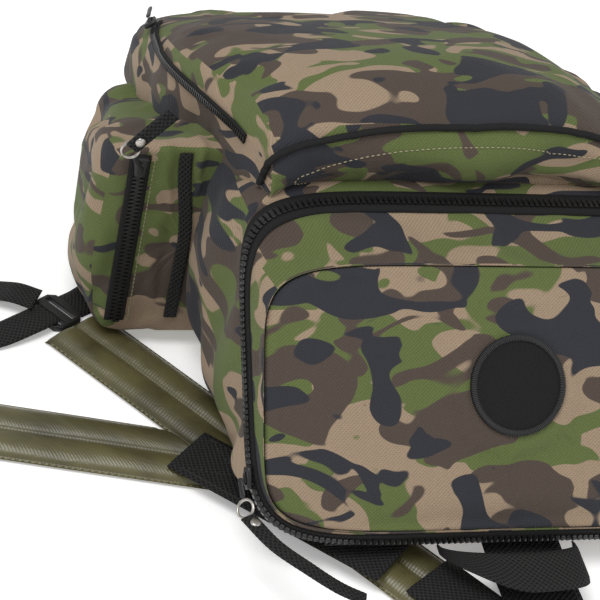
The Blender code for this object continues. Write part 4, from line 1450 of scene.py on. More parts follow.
@dataclass
class FrontPocket:
    """The puffed pocket on the front, its piping, topstitching and zip."""

    form: BagForm
    finishes: Finishes
    sewing: Sewing
    near: float = 0.151
    far: float = 0.408
    half_near: float = 0.146
    half_far: float = 0.177
    widen: tuple[float, float] = (0.145, 0.310)
    slack: float = 0.85
    slack_run: tuple[float, float] = (0.030, 0.140)
    tuck: float = 0.013
    depth: float = 0.0495
    squareness: float = 4.5
    reach: float = 0.060
    columns: int = 170
    piping: float = 0.0022
    stitch_gap: float = 0.016
    zip_over: float = 0.012
    zip_width: float = 0.007
    zip_thickness: float = 0.0018

    def profile(self, u: float) -> float:
        """Share of the pocket's depth at share u of its length."""
        if u < 0.2:
            return 0.42 + 0.58 * math.sqrt(1 - (1 - u / 0.2) ** 2)
        return 1 - 0.72 * ((u - 0.2) / 0.8) ** 1.5

    def ring(self, u: float, share: float, back: float = 0.0) -> Array:
        """A ring across the pocket, with this share of its depth, moved back by a distance."""
        t = self.near + (self.far - self.near) * u + back
        base = float(self.form.front_height(t))
        top, low = base + self.depth * share, base - self.reach
        widening = ease((t - self.widen[0]) / (self.widen[1] - self.widen[0]))
        half = self.half_near + (self.half_far - self.half_near) * widening - 0.007 * (2 * abs(u - 0.5)) ** 6
        outline = squared(half, (top - low) / 2, self.squareness, self.columns)
        x, over = outline[:, 0], (top + low) / 2 + outline[:, 1] - base
        left = 1 - self.slack * ease((x - self.slack_run[0]) / (self.slack_run[1] - self.slack_run[0]))
        z = base + over * np.where(over > 0, left, 1)
        return np.column_stack([x, np.full(len(x), TOP_Y + t), z])

    def build(self) -> Piece:
        """Builds and settles the pocket.

        Returns:
            The pocket's shell.
        """
        steps = [(0.0, s, self.tuck * (1 - ease((s + 0.10) / 0.46))) for s in np.linspace(-0.14, 0.40, 11)]
        steps += [(u, self.profile(u), 0.0) for u in 0.2 * (1 - np.cos(np.linspace(0, math.pi / 2, 12)))]
        steps += [(u, self.profile(u), 0.0) for u in np.linspace(0.22, 0.99, 40)]
        steps += [(1.0, s, 0.0) for s in np.linspace(0.27, -0.06, 5)]
        rows = np.stack([self.ring(*step) for step in steps])
        skin = Skin().grid(rows, closed=True)
        # The pocket's cloth gets more dark ink as painted shade, to darken its brightly lit top
        cloth = Camouflage("front", (0.93, 0.58), 0.2, cover=0.012).material()
        shell = skin.build("front_pocket_cloth", cloth)
        map_panels(shell, np.eye(3), np.zeros(3))
        points = coordinates(shell)
        x, t = points[:, 0], points[:, 1] - TOP_Y
        over = points[:, 2] - self.form.front_height(t)
        sewn = (over < 0.003) & (np.abs(x) < 0.160)
        sewn |= (x < -0.130) & (np.abs(over - self.zip_over) < 0.011) & (t > 0.175)
        settle = Settle(pressure=0.4, gravity=0.0, most=0.0045, fold=0.075, fold_depth=0.0030)
        settle.run(shell, sewn.astype(float))
        return shell

    def rim(self, shell: Piece, shift: float, lift: float) -> tuple[Array, Array]:
        """A line across the pocket's near edge.

        Args:
            shell: the pocket's shell.
            shift: how far towards the lid from the piping.
            lift: how far above the cloth.

        Returns:
            The line's points and the cloth's normals there.
        """
        tree = surface_of(shell)
        t = self.near + 0.030
        middle = at(0, t, float(self.form.front_height(t)) - 0.004)
        points, outs = [], []
        for turn in np.radians(np.linspace(-88, 88, 221)):
            wide = np.array([math.sin(turn) * self.half_near, 0, abs(math.cos(turn)) * self.depth])
            start = middle + wide * np.array([0.55, 0, 0])
            way = unit(wide * np.array([0.45, 0, 1]) + np.array([0, shift - 0.022, 0]))
            hit, normal, _, _ = tree.ray_cast(Vector(start + way * 0.2), Vector(-way))
            if hit is None:
                continue
            normal = np.array(normal) * (-1 if normal.dot(Vector(-way)) > 0 else 1)
            points.append(np.array(hit) + normal * lift)
            outs.append(normal)
        return np.array(points), np.array(outs)

    def zip_line(self, shell: Piece, lift: float) -> tuple[Array, Array]:
        """The zip's line on the pocket's left side, this far above the cloth."""
        tree = surface_of(shell)
        points, outs = [], []
        for t in np.linspace(0.185, 0.375, 90):
            start = Vector(at(-1, t, self.form.front_height(t) + self.zip_over))
            hit, normal, _, _ = tree.ray_cast(start, Vector((1, 0, 0)))
            normal = np.array(normal) * (-1 if normal.x > 0 else 1)
            points.append(np.array(hit) + normal * lift)
            outs.append(normal)
        return np.array(points), np.array(outs)

    def dress(self) -> None:
        """Builds the pocket with its trims."""
        shell = self.build()
        path, _ = self.rim(shell, 0.0, self.piping * 0.8)
        cord = tube("front_pocket_piping_cord", path, self.piping, self.finishes.tape)
        hand_in(cord, "bag", "black_webbing", "front_pocket_piping")
        path, outs = self.rim(shell, -self.stitch_gap, GAP)
        row, sizes = self.sewing.row, (0.0023, 0.0007, 0.0007)
        sewn = row("front_pocket_topstitch", Row.STITCH, path, outs, sizes, 0.0034, self.finishes.cream)
        hand_in(sewn, "bag", "camouflage_cloth")
        path, outs = self.zip_line(shell, 0.0009)
        sizes = (self.zip_width, self.zip_thickness)
        tape = ribbon("front_pocket_zip_tape", path, outs, *sizes, self.finishes.tape)
        hand_in(tape, "bag", "zip_tape", "front_pocket_zip")
        line, sizes = path + outs * 0.0011, (0.0014, 0.0036, 0.0014)
        teeth = row("front_pocket_zip_teeth", Row.TOOTH, line, outs, sizes, 0.0024, self.finishes.teeth)
        hand_in(teeth, "bag", "black_plastic")
        hand_in(thicken(shell, CLOTH), "bag", "camouflage_cloth", "front_pocket_shell")


@dataclass
class SidePocket:
    """A box pocket on one side, with its zip across the face that looks to the bag's top."""

    form: BagForm
    finishes: Finishes
    sewing: Sewing
    side: Side
    top: float = 0.205
    length: float = 0.172
    outer: float = 0.230
    inner: float = 0.120
    low: float = 0.009
    drop: float = 0.006
    fall: float = 0.030
    taper: float = 0.035
    squareness: float = 6.0
    columns: int = 130
    zip_x: float = 0.206
    zip_low: float = 0.024
    zip_width: float = 0.009
    zip_thickness: float = 0.0022
    stitch_gap: float = 0.0092
    tooth: tuple[float, float, float] = (0.0018, 0.0044, 0.0017)
    tooth_pitch: float = 0.0029
    binding_x: float = 0.1695
    binding_thickness: float = 0.0014
    binding_width: float = 0.0085
    binding_bow: float = 0.0085
    binding_start: float = 0.45

    def high(self, t: float) -> float:
        """Height of the pocket's front edge at t, which falls towards the bag's bottom."""
        share = max(0.0, (t - self.top) / self.length)
        return float(self.form.front_height(t)) - self.drop - self.fall * share**1.5

    def ring(self, t: float, inset: float) -> Array:
        """A ring of the pocket at t, set in from its outline."""
        share = max(0.0, (t - self.top) / self.length)
        outer, low = self.outer - self.taper * share**1.5 - inset, self.low + inset / 2
        high = self.high(t) - inset / 2
        outline = squared((outer - self.inner) / 2, (high - low) / 2, self.squareness, self.columns)
        x = (outer + self.inner) / 2 + outline[:, 0]
        z = (high + low) / 2 + outline[:, 1]
        return np.column_stack([self.side.value * x, np.full(len(x), TOP_Y + t), z])

    def build(self) -> Piece:
        """Builds and settles the pocket.

        Returns:
            The pocket's shell.
        """
        end = self.top + self.length
        turns = [(self.top, 0.011), (self.top + 0.0015, 0.0062)]
        turns += [(self.top + 0.006, 0.0028), (self.top + 0.014, 0.0008)]
        turns += [(t, 0.0) for t in np.linspace(self.top + 0.022, end - 0.024, 24)]
        turns += [(end - 0.015, 0.0012), (end - 0.008, 0.004), (end - 0.002, 0.009), (end, 0.014)]
        rows = np.stack([self.ring(t, inset) for t, inset in turns])
        skin = Skin().grid(rows, closed=True)
        capped(skin, rows[0], (0, 2), np.zeros(3), 12)
        capped(skin, rows[-1], (0, 2), np.array([0, 0.0015, 0]), 8)
        cloth = Camouflage(f"side_{self.side.word}", (0.15 + 0.4 * self.side.value, 0.71), 1.57)
        shell = skin.build(f"side_pocket_cloth_{self.side.word}", cloth.material())
        map_panels(shell, np.eye(3), np.zeros(3))
        settle = Settle(grow=0.03, pressure=1.0, gravity=0.1, most=0.006, fold_depth=0.0032)
        settle.run(shell, self.sewn(coordinates(shell)))
        return shell

    def sewn(self, points: Array) -> Array:
        """How firmly each point is held: where it meets the bag, at the zip and at the binding.

        Args:
            points: the pocket's points.

        Returns:
            A share from 0 to 1 for each point.
        """
        x, z, t = np.abs(points[:, 0]), points[:, 2], points[:, 1] - TOP_Y
        face = t < self.top + 0.002
        held = (x < 0.166) | (z < self.low + 0.002)
        held |= face & (np.abs(x - self.zip_x + 0.001) < 0.011)
        share = (z - self.zip_low) / (self.high(self.top) - self.zip_low)
        held |= face & (np.abs(x - self.binding(share)) < 0.0085)
        return held.astype(float)

    def binding(self, share: Array) -> Array:
        """The binding's distance from the middle of the bag, which grows towards its upper end."""
        bend = ease((share - self.binding_start) / (1 - self.binding_start))
        return self.binding_x + self.binding_bow * bend

    def upright(self, x: float, low: float, high: float, lift: float) -> Array:
        """A line up the pocket's face."""
        return np.stack([at(self.side.value * x, self.top - lift, z) for z in np.linspace(low, high, 60)])

    def dress(self) -> None:
        """Builds the pocket with its zip and binding."""
        word, looks, row = self.side.word, self.finishes, self.sewing.row
        shell = self.build()
        low, top = self.zip_low, self.high(self.top) - 0.008
        path = self.upright(self.zip_x, low, top, GAP + self.zip_thickness / 2)
        sizes = (self.zip_width + 0.004, self.zip_thickness * 0.7)
        tape = ribbon(f"side_zip_tape_{word}", path, TOPWARD, *sizes, looks.tape)
        hand_in(tape, "bag", "zip_tape", f"side_pocket_zip_{word}")
        for k, shift in enumerate((-0.0012, 0.0012)):
            path = self.upright(self.zip_x + shift, low, top, GAP + self.zip_thickness)
            name, flip = f"side_zip_teeth_{word}_{k}", (shift > 0) == (self.side is Side.RIGHT)
            start = self.tooth_pitch / 2 * k
            pitch = self.tooth_pitch
            teeth = row(name, Row.TOOTH, path, TOPWARD, self.tooth, pitch, looks.teeth, start, flip)
            hand_in(teeth, "bag", "black_plastic")
        path = self.upright(self.binding_x, low + 0.002, top + 0.002, GAP + self.binding_thickness / 2)
        path[:, 0] = self.side.value * self.binding(np.linspace(0, 1, len(path)))
        sizes = (self.binding_width, self.binding_thickness)
        band = ribbon(f"side_binding_{word}", path, TOPWARD, *sizes, looks.webbing)
        hand_in(band, "bag", "black_webbing", f"side_pocket_binding_{word}")
        path = self.upright(self.zip_x - self.stitch_gap, low, top + 0.002, GAP)
        sizes = (0.0028, 0.0009, 0.0009)
        sewn = row(f"side_topstitch_{word}", Row.STITCH, path, TOPWARD, sizes, 0.0032, looks.sage)
        hand_in(sewn, "bag", "camouflage_cloth")
        hand_in(thicken(shell, CLOTH), "bag", "camouflage_cloth", f"side_pocket_shell_{word}")


@dataclass
class ZipPull:
    """A zip slider with a link, and on the larger zips a wire ring and a riveted webbing tab."""

    finishes: Finishes
    prefix: str
    slider_body: str
    pull_body: str
    centre: Array
    along: Array
    out: Array
    pivot: Array
    ring_centre: Array | None = None
    ring_axis: Array | None = None
    tab_path: Array | None = None
    tab_normal: Array | None = None
    link_end: Array | None = None
    length: float = 0.013
    width: float = 0.0095
    thickness: float = 0.0048
    link_width: float = 0.0034
    link_thickness: float = 0.0016
    ring_radius: float = 0.0055
    wire: float = 0.0009
    tab_width: float = 0.010
    tab_thickness: float = 0.0019
    tab_ribs: float = 0.0028
    rivet_radius: float = 0.0032
    rivet_height: float = 0.0014

    def slider(self) -> Piece:
        """The slider: a wedge body with a bridge over its top.

        Returns:
            The slider.
        """
        across = np.cross(self.along, self.out)
        low = self.centre - self.out * (self.thickness / 2)
        skin = Skin()
        body = [(-0.50, 0.50), (-0.47, 0.66), (-0.36, 0.76), (-0.05, 0.86)]
        body += [(0.25, 1.0), (0.42, 0.98), (0.5, 0.80)]
        rows = []
        for shift, share in body:
            outline = squared(self.width / 2 * share, 0.0016 * (0.72 + 0.28 * share), 5, 28)
            foot = low + self.along * (self.length * shift) + self.out * 0.0017
            rows.append(foot + outline[:, :1] * across + outline[:, 1:] * self.out)
        skin.bar(np.stack(rows))
        arch = []
        bridge = [(-0.34, 0.0026), (-0.30, 0.0038), (-0.16, 0.0042)]
        bridge += [(0.12, 0.0042), (0.26, 0.0038), (0.30, 0.0026)]
        for shift, rise in bridge:
            outline = squared(0.0013, 0.0005, 4, 16)
            foot = low + self.along * (self.length * shift) + self.out * rise
            arch.append(foot + outline[:, :1] * across + outline[:, 1:] * self.out)
        return skin.bar(np.stack(arch)).build(f"{self.prefix}_slider_shape", self.finishes.plastic)

    def link(self) -> Piece:
        """The moulded link between the slider and the ring.

        Returns:
            The link.
        """
        if self.ring_centre is not None:
            down = unit(self.ring_centre - self.pivot)
            end = self.ring_centre - down * (self.ring_radius + self.wire + GAP)
            thin, wide = self.ring_axis, np.cross(down, self.ring_axis)
        else:
            end = self.link_end
            down = unit(end - self.pivot)
            thin, wide = self.out, np.cross(down, self.out)
        rows = []
        bar = [(0, 0.55), (0.05, 0.85), (0.16, 1.0), (0.5, 0.86), (0.84, 1.0), (0.95, 0.85), (1, 0.55)]
        for u, share in bar:
            half, deep = self.link_width / 2 * share, self.link_thickness / 2 * (0.6 + 0.4 * share)
            outline = squared(half, deep, 3.5, 24)
            rows.append(self.pivot + (end - self.pivot) * u + outline[:, :1] * wide + outline[:, 1:] * thin)
        return Skin().bar(np.stack(rows)).build(f"{self.prefix}_link_shape", self.finishes.plastic)

    def ring(self) -> Piece:
        """The ring of round wire."""
        side = unit(np.cross(self.ring_axis, (0.3, 0.5, 0.8)))
        other = np.cross(self.ring_axis, side)
        turn = np.linspace(0, 2 * math.pi, 57)[:, None, None]
        round_ = np.linspace(0, 2 * math.pi, 14, endpoint=False)[None, :, None]
        radial = np.cos(turn) * side + np.sin(turn) * other
        rows = self.ring_centre + radial * (self.ring_radius + self.wire * np.cos(round_))
        rows = rows + self.ring_axis * (self.wire * np.sin(round_))
        return Skin().grid(rows, closed=True).build(f"{self.prefix}_ring_wire", self.finishes.steel)

    def tab(self) -> list[Piece]:
        """The webbing tab and its rivet.

        Returns:
            The tab and the rivet.
        """
        path = curve_through(self.tab_path, 260)
        sizes, name = (self.tab_width, self.tab_thickness), f"{self.prefix}_tab_webbing"
        band = ribbon(name, path, self.tab_normal, *sizes, self.finishes.webbing, self.tab_ribs)
        aim = unit(self.tab_path[1] - self.tab_path[0])
        normal = unit(self.tab_normal - aim * (self.tab_normal @ aim))
        side = np.cross(aim, normal)
        foot = self.tab_path[0] + aim * (self.rivet_radius * 2.2) + normal * (self.tab_thickness / 2 + GAP)
        turn = np.linspace(0, 2 * math.pi, 40, endpoint=False)
        round_ = np.cos(turn)[:, None] * aim + np.sin(turn)[:, None] * side
        profile = [(1.0, -GAP), (1.0, 0.35), (0.95, 0.62), (0.84, 0.82), (0.60, 0.95), (0.30, 1.0), (0, 1.0)]
        radius, height = self.rivet_radius, self.rivet_height
        rows = np.stack([foot + round_ * (radius * r) + normal * (height * h) for r, h in profile])
        rivet = Skin().grid(rows, closed=True).build(f"{self.prefix}_rivet_cap", self.finishes.steel)
        return [band, rivet]

    def dress(self) -> None:
        """Builds the slider and its pull."""
        name = self.prefix
        node = name.replace("side", "side_slider") if name.startswith("side") else f"{name}_slider"
        hand_in(self.slider(), self.slider_body, "black_plastic", node)
        hand_in(self.link(), self.pull_body, "black_plastic", f"{name}_pull_link")
        if self.ring_centre is None:
            return
        hand_in(self.ring(), self.pull_body, "nickel_steel", f"{name}_pull_ring")
        band, rivet = self.tab()
        hand_in(band, self.pull_body, "black_webbing", f"{name}_pull_tab")
        hand_in(rivet, self.pull_body, "nickel_steel", f"{name}_pull_rivet")


@dataclass
class Pulls:
    """All the bag's sliders and pulls."""

    form: BagForm
    finishes: Finishes
    main_slider: tuple[float, float, float] = (-0.16019, -0.21736, 0.05074)
    main_pivot: tuple[float, float, float] = (-0.16429, -0.21736, 0.05074)
    main_drop: tuple[float, float, float] = (0.0010, -0.0170, -0.0080)
    side_slider: tuple[float, float, float] = (0.206, -0.0427, 0.14464)
    side_pivot: tuple[float, float, float] = (0.206, -0.0462, 0.14464)
    front_slider: tuple[float, float, float] = (-0.17181, 0.12262, 0.1482)
    front_pivot: tuple[float, float, float] = (-0.17371, 0.12383, 0.15088)
    front_along: tuple[float, float, float] = (-0.27241, -0.9351, 0.22668)

    def main(self) -> ZipPull:
        """The main zip's slider, on the left run of the mouth."""
        pivot = np.array(self.main_pivot)
        ring = pivot + np.array(self.main_drop)
        hang = ring - np.array([0, 0.0067, 0])
        sag = ((0, 0, 0), (0.0113, -0.0232, -0.0002), (0.0280, -0.0388, -0.0037), (0.0447, -0.0486, -0.0097))
        sag += ((0.0603, -0.0538, -0.0147),)
        pull = ZipPull(
            self.finishes,
            "main",
            "main_slider_body",
            "main_pull",
            np.array(self.main_slider),
            self.form.mouth_along,
            -ACROSS,
            pivot,
        )
        pull.ring_centre = ring
        pull.ring_axis = unit((-0.75, -0.28, 0.60))
        pull.tab_path = hang + np.array(sag)
        pull.tab_normal = UP
        return pull

    def beside(self, side: Side) -> ZipPull:
        """A side pocket's slider."""
        mirror = np.array([side.value, 1, 1])
        pivot = np.array(self.side_pivot) * mirror
        ring = pivot + np.array([0.010, -0.003, 0.0175]) * mirror
        hang = ring + np.array([0, -0.00215, 0.00275])
        rise = np.array(((0, 0, 0), (0.009, -0.0010, 0.012), (0.021, -0.0015, 0.026)))
        pull = ZipPull(
            self.finishes,
            f"side_{side.word}",
            f"side_slider_{side.word}_body",
            f"side_pull_{side.word}",
            np.array(self.side_slider) * mirror,
            UP,
            TOPWARD,
            pivot,
        )
        pull.ring_centre = ring
        pull.ring_axis = -TOPWARD
        pull.tab_path = hang + rise * np.array([-side.value, 1, 1])
        pull.tab_normal = TOPWARD
        return pull

    def front(self) -> ZipPull:
        """The front pocket's slider, which has a plain moulded puller."""
        along = unit(self.front_along)
        out = np.array(self.front_pivot) - np.array(self.front_slider)
        pivot = np.array(self.front_pivot)
        pull = ZipPull(
            self.finishes,
            "front",
            "front_slider_body",
            "front_pull",
            np.array(self.front_slider),
            along,
            unit(out - along * (out @ along)),
            pivot,
        )
        pull.link_end = pivot - along * 0.022
        return pull

    def dress(self) -> None:
        """Builds every slider with its pull."""
        for pull in (self.main(), self.beside(Side.LEFT), self.beside(Side.RIGHT), self.front()):
            pull.dress()


@dataclass
class GrabHandle:
    """The webbing arch at the top of the bag."""

    finishes: Finishes
    width: float = 0.030
    thickness: float = 0.0022
    half_span: float = 0.043
    centre_x: float = -0.001
    rise: float = 0.009
    push: float = 0.018
    root_z: float = 0.0205
    root_t: float = -0.0026
    lean: float = math.radians(4)
    pinch: float = 0.30
    pinch_run: float = 0.52

    def build(self) -> Piece:
        """Builds the arch.

        Returns:
            The handle.
        """
        down = np.array([0, -math.cos(self.lean), -math.sin(self.lean)])
        turn = np.linspace(0, math.pi, 241)
        lift = np.sin(turn) ** 0.7
        x = self.centre_x - self.half_span * np.cos(turn)
        y = TOP_Y + self.root_t - self.push * lift
        z = self.root_z + self.rise * lift
        foot = even(np.column_stack([x, y, z]), 70)
        flat = foot * np.array([1, 0, 1])
        outs = np.cross(tangents(flat), down)
        open_ = ease(np.linspace(0, 1, len(foot)) / self.pinch_run)
        narrow = (self.pinch + (1 - self.pinch) * open_)[:, None]
        columns = []
        for s, h in tape_section(self.thickness):
            columns.append(foot + down * (self.width * (1 + s) / 2) * narrow + outs * h)
        place = tape_map(foot + down * (self.width / 2), self.width, self.thickness)
        skin = Skin().bar(np.stack(columns, axis=1), place)
        return skin.build("grab_handle_webbing", self.finishes.webbing)

    def dress(self) -> None:
        """Builds the handle."""
        hand_in(self.build(), "handle", "black_webbing", "grab_handle")


@dataclass
class StrapPad:
    """A padded shoulder strap of coated cloth with two channels, lying on the floor."""

    finishes: Finishes
    sewing: Sewing
    name: str
    body: str
    end: tuple[float, float]
    aim: tuple[float, float]
    stop: tuple[Array, Array] | None = None
    length: float = 0.345
    width: float = 0.050
    thickness: float = 0.0080
    flange: float = 0.0026
    rows: int = 150

    @property
    def along(self) -> Array:
        """The strap's direction from its free end."""
        return unit((*self.aim, 0))

    @property
    def across(self) -> Array:
        """The direction to the strap's left."""
        return np.array([-self.along[1], self.along[0], 0])

    def reach(self, w: float) -> float:
        """How far the strap runs at a place across it, up to the strap that stops it."""
        if self.stop is None:
            return self.length
        foot, normal = self.stop
        start = at(*self.end, 0) + self.across * w
        return min(self.length, float((foot - start) @ normal / (self.along @ normal)))

    def height(self, w: float) -> float:
        """The strap's top above the floor at a place across it."""
        inner = self.width / 2 - self.flange
        share = min(abs(w) / inner, 1.0)
        hump = max(0.0, math.sin(math.pi * min(max(share, 0), 1))) ** 0.5
        low = 0.0030 if share < 0.5 else 0.0019
        return GAP + low + (self.thickness - low) * hump

    def build(self) -> Piece:
        """Builds the pad.

        Returns:
            The pad.
        """
        half = self.width / 2
        tops = half * np.sin(np.linspace(math.pi / 2, -math.pi / 2, 61))
        lows = np.linspace(-half, half, 17)[1:-1]
        columns = []
        for w, level in [(w, self.height(w)) for w in tops] + [(w, GAP) for w in lows]:
            shares = np.linspace(0, 1, self.rows)
            ends = np.minimum(1, np.minimum(shares, 1 - shares) * self.length / 0.006 + 0.30)
            base = at(*self.end, 0) + self.across * w
            line = base + np.outer(shares * self.reach(w), self.along)
            folds = ripple(line * np.array([1, 1, 0]), 0.045, 1.0, 3) if level > GAP else np.zeros(self.rows)
            line[:, 2] = GAP + (level - GAP) * ends * (1 + np.clip(folds, -2, 1) * 0.035)
            columns.append(line)
        return Skin().bar(np.stack(columns, axis=1)).build(f"{self.name}_cloth", self.finishes.olive)

    def stitches(self, w: float) -> Piece:
        """A row of stitches along the strap at a place across it."""
        level = self.height(w) + 0.0001
        base = at(*self.end, level) + self.across * w
        path = base + np.outer(np.linspace(0.006, self.reach(w) - 0.004, 80), self.along)
        word = "middle" if w == 0 else "left" if w > 0 else "right"
        name, sizes = f"{self.name}_stitch_{word}", (0.0027, 0.0007, 0.0007)
        return self.sewing.row(name, Row.STITCH, path, UP, sizes, 0.0040, self.finishes.sage)

    def dress(self) -> None:
        """Builds the pad and its stitches."""
        pad = hand_in(self.build(), self.body, "olive_coated_cloth", self.name)
        for w in (0.0, self.width / 2 - 0.0012, 0.0012 - self.width / 2):
            hand_in(self.stitches(w), self.body, "olive_coated_cloth")


@dataclass
class Straps:
    """Both shoulder straps, their hangers, locks and webbing."""

    finishes: Finishes
    sewing: Sewing
    left_end: tuple[float, float] = (-0.472, 0.168)
    left_aim: tuple[float, float] = (0.971, -0.239)
    right_end: tuple[float, float] = (-0.2270, 0.2230)
    right_aim: tuple[float, float] = (0.590, -0.807)
    pad_width: float = 0.050
    pad_thickness: float = 0.0080
    pad_length: float = 0.345
    hanger_width: float = 0.042
    hanger_thickness: float = 0.0020
    hanger_rise: float = 0.0026
    web_width: float = 0.025
    web_thickness: float = 0.0016
    tail_width: float = 0.022
    lock_length: float = 0.024
    lock_width: float = 0.032
    lock_thickness: float = 0.0045

    @property
    def right_along(self) -> Array:
        """The right strap's direction from its free end."""
        return unit((*self.right_aim, 0))

    def flat(self, name: str, path: Array, width: float, thick: float) -> Piece:
        """A webbing that lies face up."""
        return ribbon(name, path, UP, width, thick, self.finishes.webbing)

    def pads(self) -> None:
        """Builds the two padded straps: the left one stops at the right one's edge."""
        along = self.right_along
        across = np.array([-along[1], along[0], 0])
        foot = at(*self.right_end, 0) - across * (self.pad_width / 2 + 2 * GAP)
        make = StrapPad
        make(self.finishes, self.sewing, "right_strap_pad", "bag", self.right_end, self.right_aim).dress()
        left = make(self.finishes, self.sewing, "left_strap_pad", "left_strap", self.left_end, self.left_aim)
        left.stop = (foot, across)
        left.dress()

    def hangers(self) -> None:
        """Builds the webbing that sews each strap to the bag's top."""
        level = self.pad_thickness + 2 * GAP + self.hanger_thickness / 2
        start, end = at(-0.1765, 0.0955, level), at(-0.071, -0.008, level + self.hanger_rise)
        path = np.linspace(start, end, 40)
        left = self.flat("left_strap_hanger_webbing", path, self.hanger_width, self.hanger_thickness)
        hand_in(left, "left_strap", "black_webbing", "left_strap_hanger")
        self.boxed("left_hanger_stitch", "left_strap", path[2], path[18], 0.034, self.hanger_thickness / 2)
        foot = at(*self.right_end, level)
        reach = (self.pad_length - 0.048, self.pad_length + 0.010)
        path = np.linspace(foot + self.right_along * reach[0], foot + self.right_along * reach[1], 30)
        lower = self.flat("right_strap_hanger_patch", path, self.hanger_width, self.hanger_thickness)
        hand_in(lower, "bag", "black_webbing", "right_strap_hanger")
        upper = level + self.hanger_thickness * 0.9
        share = np.linspace(0, 1, 40)
        climb = np.interp(share, (0, 1 / 6, 1 / 3, 1), (self.hanger_rise, 0.4 * self.hanger_rise, 0, 0))
        path = np.column_stack([np.full(40, 0.013), TOP_Y + 0.016 - 0.094 * share, upper + climb])
        top = self.flat("right_strap_hanger_webbing", path, self.hanger_width + 0.008, self.hanger_thickness)
        hand_in(top, "bag", "black_webbing", "right_strap_hanger")
        self.boxed("right_hanger_stitch", "bag", path[20], path[38], 0.042, self.hanger_thickness / 2)

    def boxed(self, name: str, body: str, start: Array, end: Array, width: float, lift: float) -> None:
        """Sews a box with a cross in it.

        Args:
            name: the piece's name.
            body: the body it moves with.
            start: the middle of one end.
            end: the middle of the other end.
            width: the box's width.
            lift: how far above the webbing's middle.
        """
        way = unit(end - start)
        side = np.array([-way[1], way[0], 0]) * (width / 2)
        up = np.array([0, 0, lift])
        a, b, c, d = start + side + up, end + side + up, end - side + up, start - side + up
        line = np.array([a, b, c, d, a, c, d, b])
        sizes, thread = (0.0026, 0.0008, 0.0007), self.finishes.black_thread
        sewn = self.sewing.row(name, Row.STITCH, even(line, 300), UP, sizes, 0.0035, thread)
        hand_in(sewn, body, "black_webbing")

    def webs(self) -> None:
        """Builds the strap webbing on the floor."""
        floor = GAP + self.web_thickness / 2
        along = unit((-self.right_aim[1], self.right_aim[0], 0))
        lock = at(*self.right_end, floor) - self.right_along * (self.lock_width / 2 + 2 * GAP)
        start = lock + along * (self.lock_length / 2 + 4 * GAP)
        route = ((-0.183, 0.284), (-0.165, 0.318), (-0.140, 0.358))
        route += ((-0.085, 0.394), (0, 0.400), (0.148, 0.400))
        corners = [start, start + along * 0.018, *(at(x, t, floor) for x, t in route)]
        path = curve_through(corners, 160)
        run = self.flat("right_adjuster_webbing", path, self.web_width, self.web_thickness)
        hand_in(run, "bag", "black_webbing", "right_adjuster_web")
        lock = lock + np.array([0, 0, GAP + self.lock_thickness + GAP + self.web_thickness / 2 - floor])
        start = lock - along * (self.lock_length * 0.25)
        low = floor + self.web_thickness
        route = ((-0.284, 0.210), (-0.316, 0.207), (-0.343, 0.220))
        route += ((-0.346, 0.246), (-0.318, 0.262), (-0.285, 0.260))
        corners = [start, start - along * 0.018, *(at(x, t, low) for x, t in route)]
        corners += [at(x, t, low + 0.006) for x, t in ((-0.264, 0.2505), (-0.2485, 0.2425))]
        path = curve_through(corners, 160)
        tail = self.flat("right_tail_webbing", path, self.tail_width, self.web_thickness)
        hand_in(tail, "right_tail", "black_webbing", "right_adjuster_tail")
        upper = floor + self.web_thickness + GAP
        route = ((-0.148, 0.400), (-0.171, 0.392), (-0.180, 0.366), (-0.173, 0.334))
        path = curve_through([at(x, t, upper) for x, t in route], 70)
        loose = self.flat("left_adjuster_webbing", path, self.tail_width, self.web_thickness)
        hand_in(loose, "bag", "black_webbing", "left_adjuster_web")

    def locks(self, nodes: dict[str, Piece]) -> None:
        """Builds the ladder locks from their solids, with rounded edges.

        Args:
            nodes: the solids by name.
        """
        for word, body in (("left", "left_lock"), ("right", "bag")):
            name = f"{word}_ladder_lock"
            made = softened(nodes[name], f"{name}_shape", 0.0006, self.finishes.plastic)
            hand_in(made, body, "black_plastic", name)

    def dress(self, nodes: dict[str, Piece]) -> None:
        """Builds everything on both straps.

        Args:
            nodes: the solids by name.
        """
        self.pads()
        self.hangers()
        self.webs()
        self.locks(nodes)


# Studio


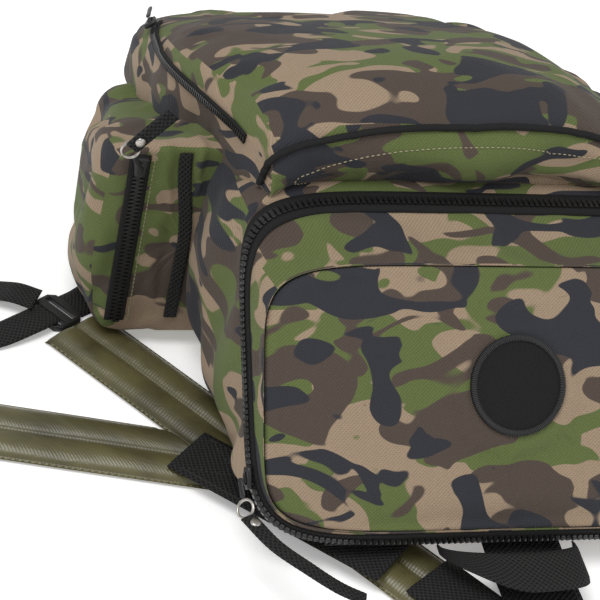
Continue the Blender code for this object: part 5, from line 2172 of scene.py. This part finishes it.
@dataclass
class Studio:
    """White floor, soft light and the camera."""

    turn: float = math.radians(21)
    rise: float = math.radians(36.5)
    roll: float = math.radians(13.2)
    lens: float = 132.2
    place: tuple[float, float, float] = (-0.4974, -1.1136, 0.8924)
    sky: float = 0.52
    glow: float = 0.27
    aim: tuple[float, float, float] = (0, 0, 0.05)
    boxes: tuple[tuple[str, tuple[float, float, float], float, float], ...] = (
        ("key", (-0.9, -0.55, 2.2), 1.4, 29.0),
        ("fill", (1.6, -1.6, 1.7), 1.8, 12.0),
    )

    def camera(self) -> None:
        """Sets the camera at the photograph's angle."""
        data = bpy.data.cameras.new("camera")
        data.lens = self.lens
        data.sensor_width = 36
        data.clip_start = 0.05
        back = np.array([-math.sin(self.turn), -math.cos(self.turn), 0]) * math.cos(self.rise)
        back = back + np.array([0, 0, math.sin(self.rise)])
        right = np.array([math.cos(self.turn), -math.sin(self.turn), 0])
        up = np.cross(right, -back)
        level = math.cos(self.roll) * right + math.sin(self.roll) * up
        tall = math.cos(self.roll) * up - math.sin(self.roll) * right
        matrix = Matrix.Identity(4)
        for k, column in enumerate((level, tall, back, self.place)):
            for row in range(3):
                matrix[row][k] = column[row]
        made = linked("camera", data)
        made.matrix_world = matrix
        bpy.context.scene.camera = made

    def floor(self) -> None:
        """Lays the white floor."""
        mesh = bpy.data.meshes.new("floor")
        mesh.from_pydata([(-5, -5, 0), (5, -5, 0), (5, 5, 0), (-5, 5, 0)], [], [(0, 1, 2, 3)])
        graph = Graph("floor_white", 0.9)
        graph.shader.inputs["Specular IOR Level"].default_value = 0.1
        graph.colour((0.985, 0.985, 0.985))
        graph.shader.inputs["Emission Color"].default_value = (1, 1, 1, 1)
        graph.shader.inputs["Emission Strength"].default_value = self.glow
        mesh.materials.append(graph.material)
        linked("floor", mesh)

    def lights(self) -> None:
        """Hangs two soft boxes and an even sky."""
        world = bpy.data.worlds.new("sky")
        world.use_nodes = True
        world.node_tree.nodes["Background"].inputs[0].default_value = (1, 1, 1, 1)
        world.node_tree.nodes["Background"].inputs[1].default_value = self.sky
        bpy.context.scene.world = world
        for name, place, size, power in self.boxes:
            data = bpy.data.lights.new(name, "AREA")
            data.shape = "DISK"
            data.size = size
            data.energy = power
            made = linked(name, data)
            made.location = place
            made.rotation_euler = (Vector(self.aim) - Vector(place)).to_track_quat("-Z", "Y").to_euler()

    def set_up(self) -> None:
        """Sets the view, the camera, the floor and the lights."""
        bpy.context.scene.view_settings.view_transform = "Standard"
        self.camera()
        self.floor()
        self.lights()


def main() -> None:
    """Loads the solids and dresses the bag piece by piece."""
    logging.basicConfig(level=logging.INFO, format="%(name)s: %(message)s")
    for old in list(bpy.data.objects):
        bpy.data.objects.remove(old)
    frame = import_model()
    nodes = frame["nodes"]
    Studio().set_up()
    form, finishes, sewing = BagForm(), Finishes(), Sewing()
    Straps(finishes, sewing).dress(nodes)
    MainCompartment(form, finishes).dress(nodes)
    Lid(form, finishes, sewing).dress()
    FrontPocket(form, finishes, sewing).dress()
    for side in Side:
        SidePocket(form, finishes, sewing, side).dress()
    Pulls(form, finishes).dress()
    GrabHandle(finishes).dress()


if __name__ == "__main__":
    main()
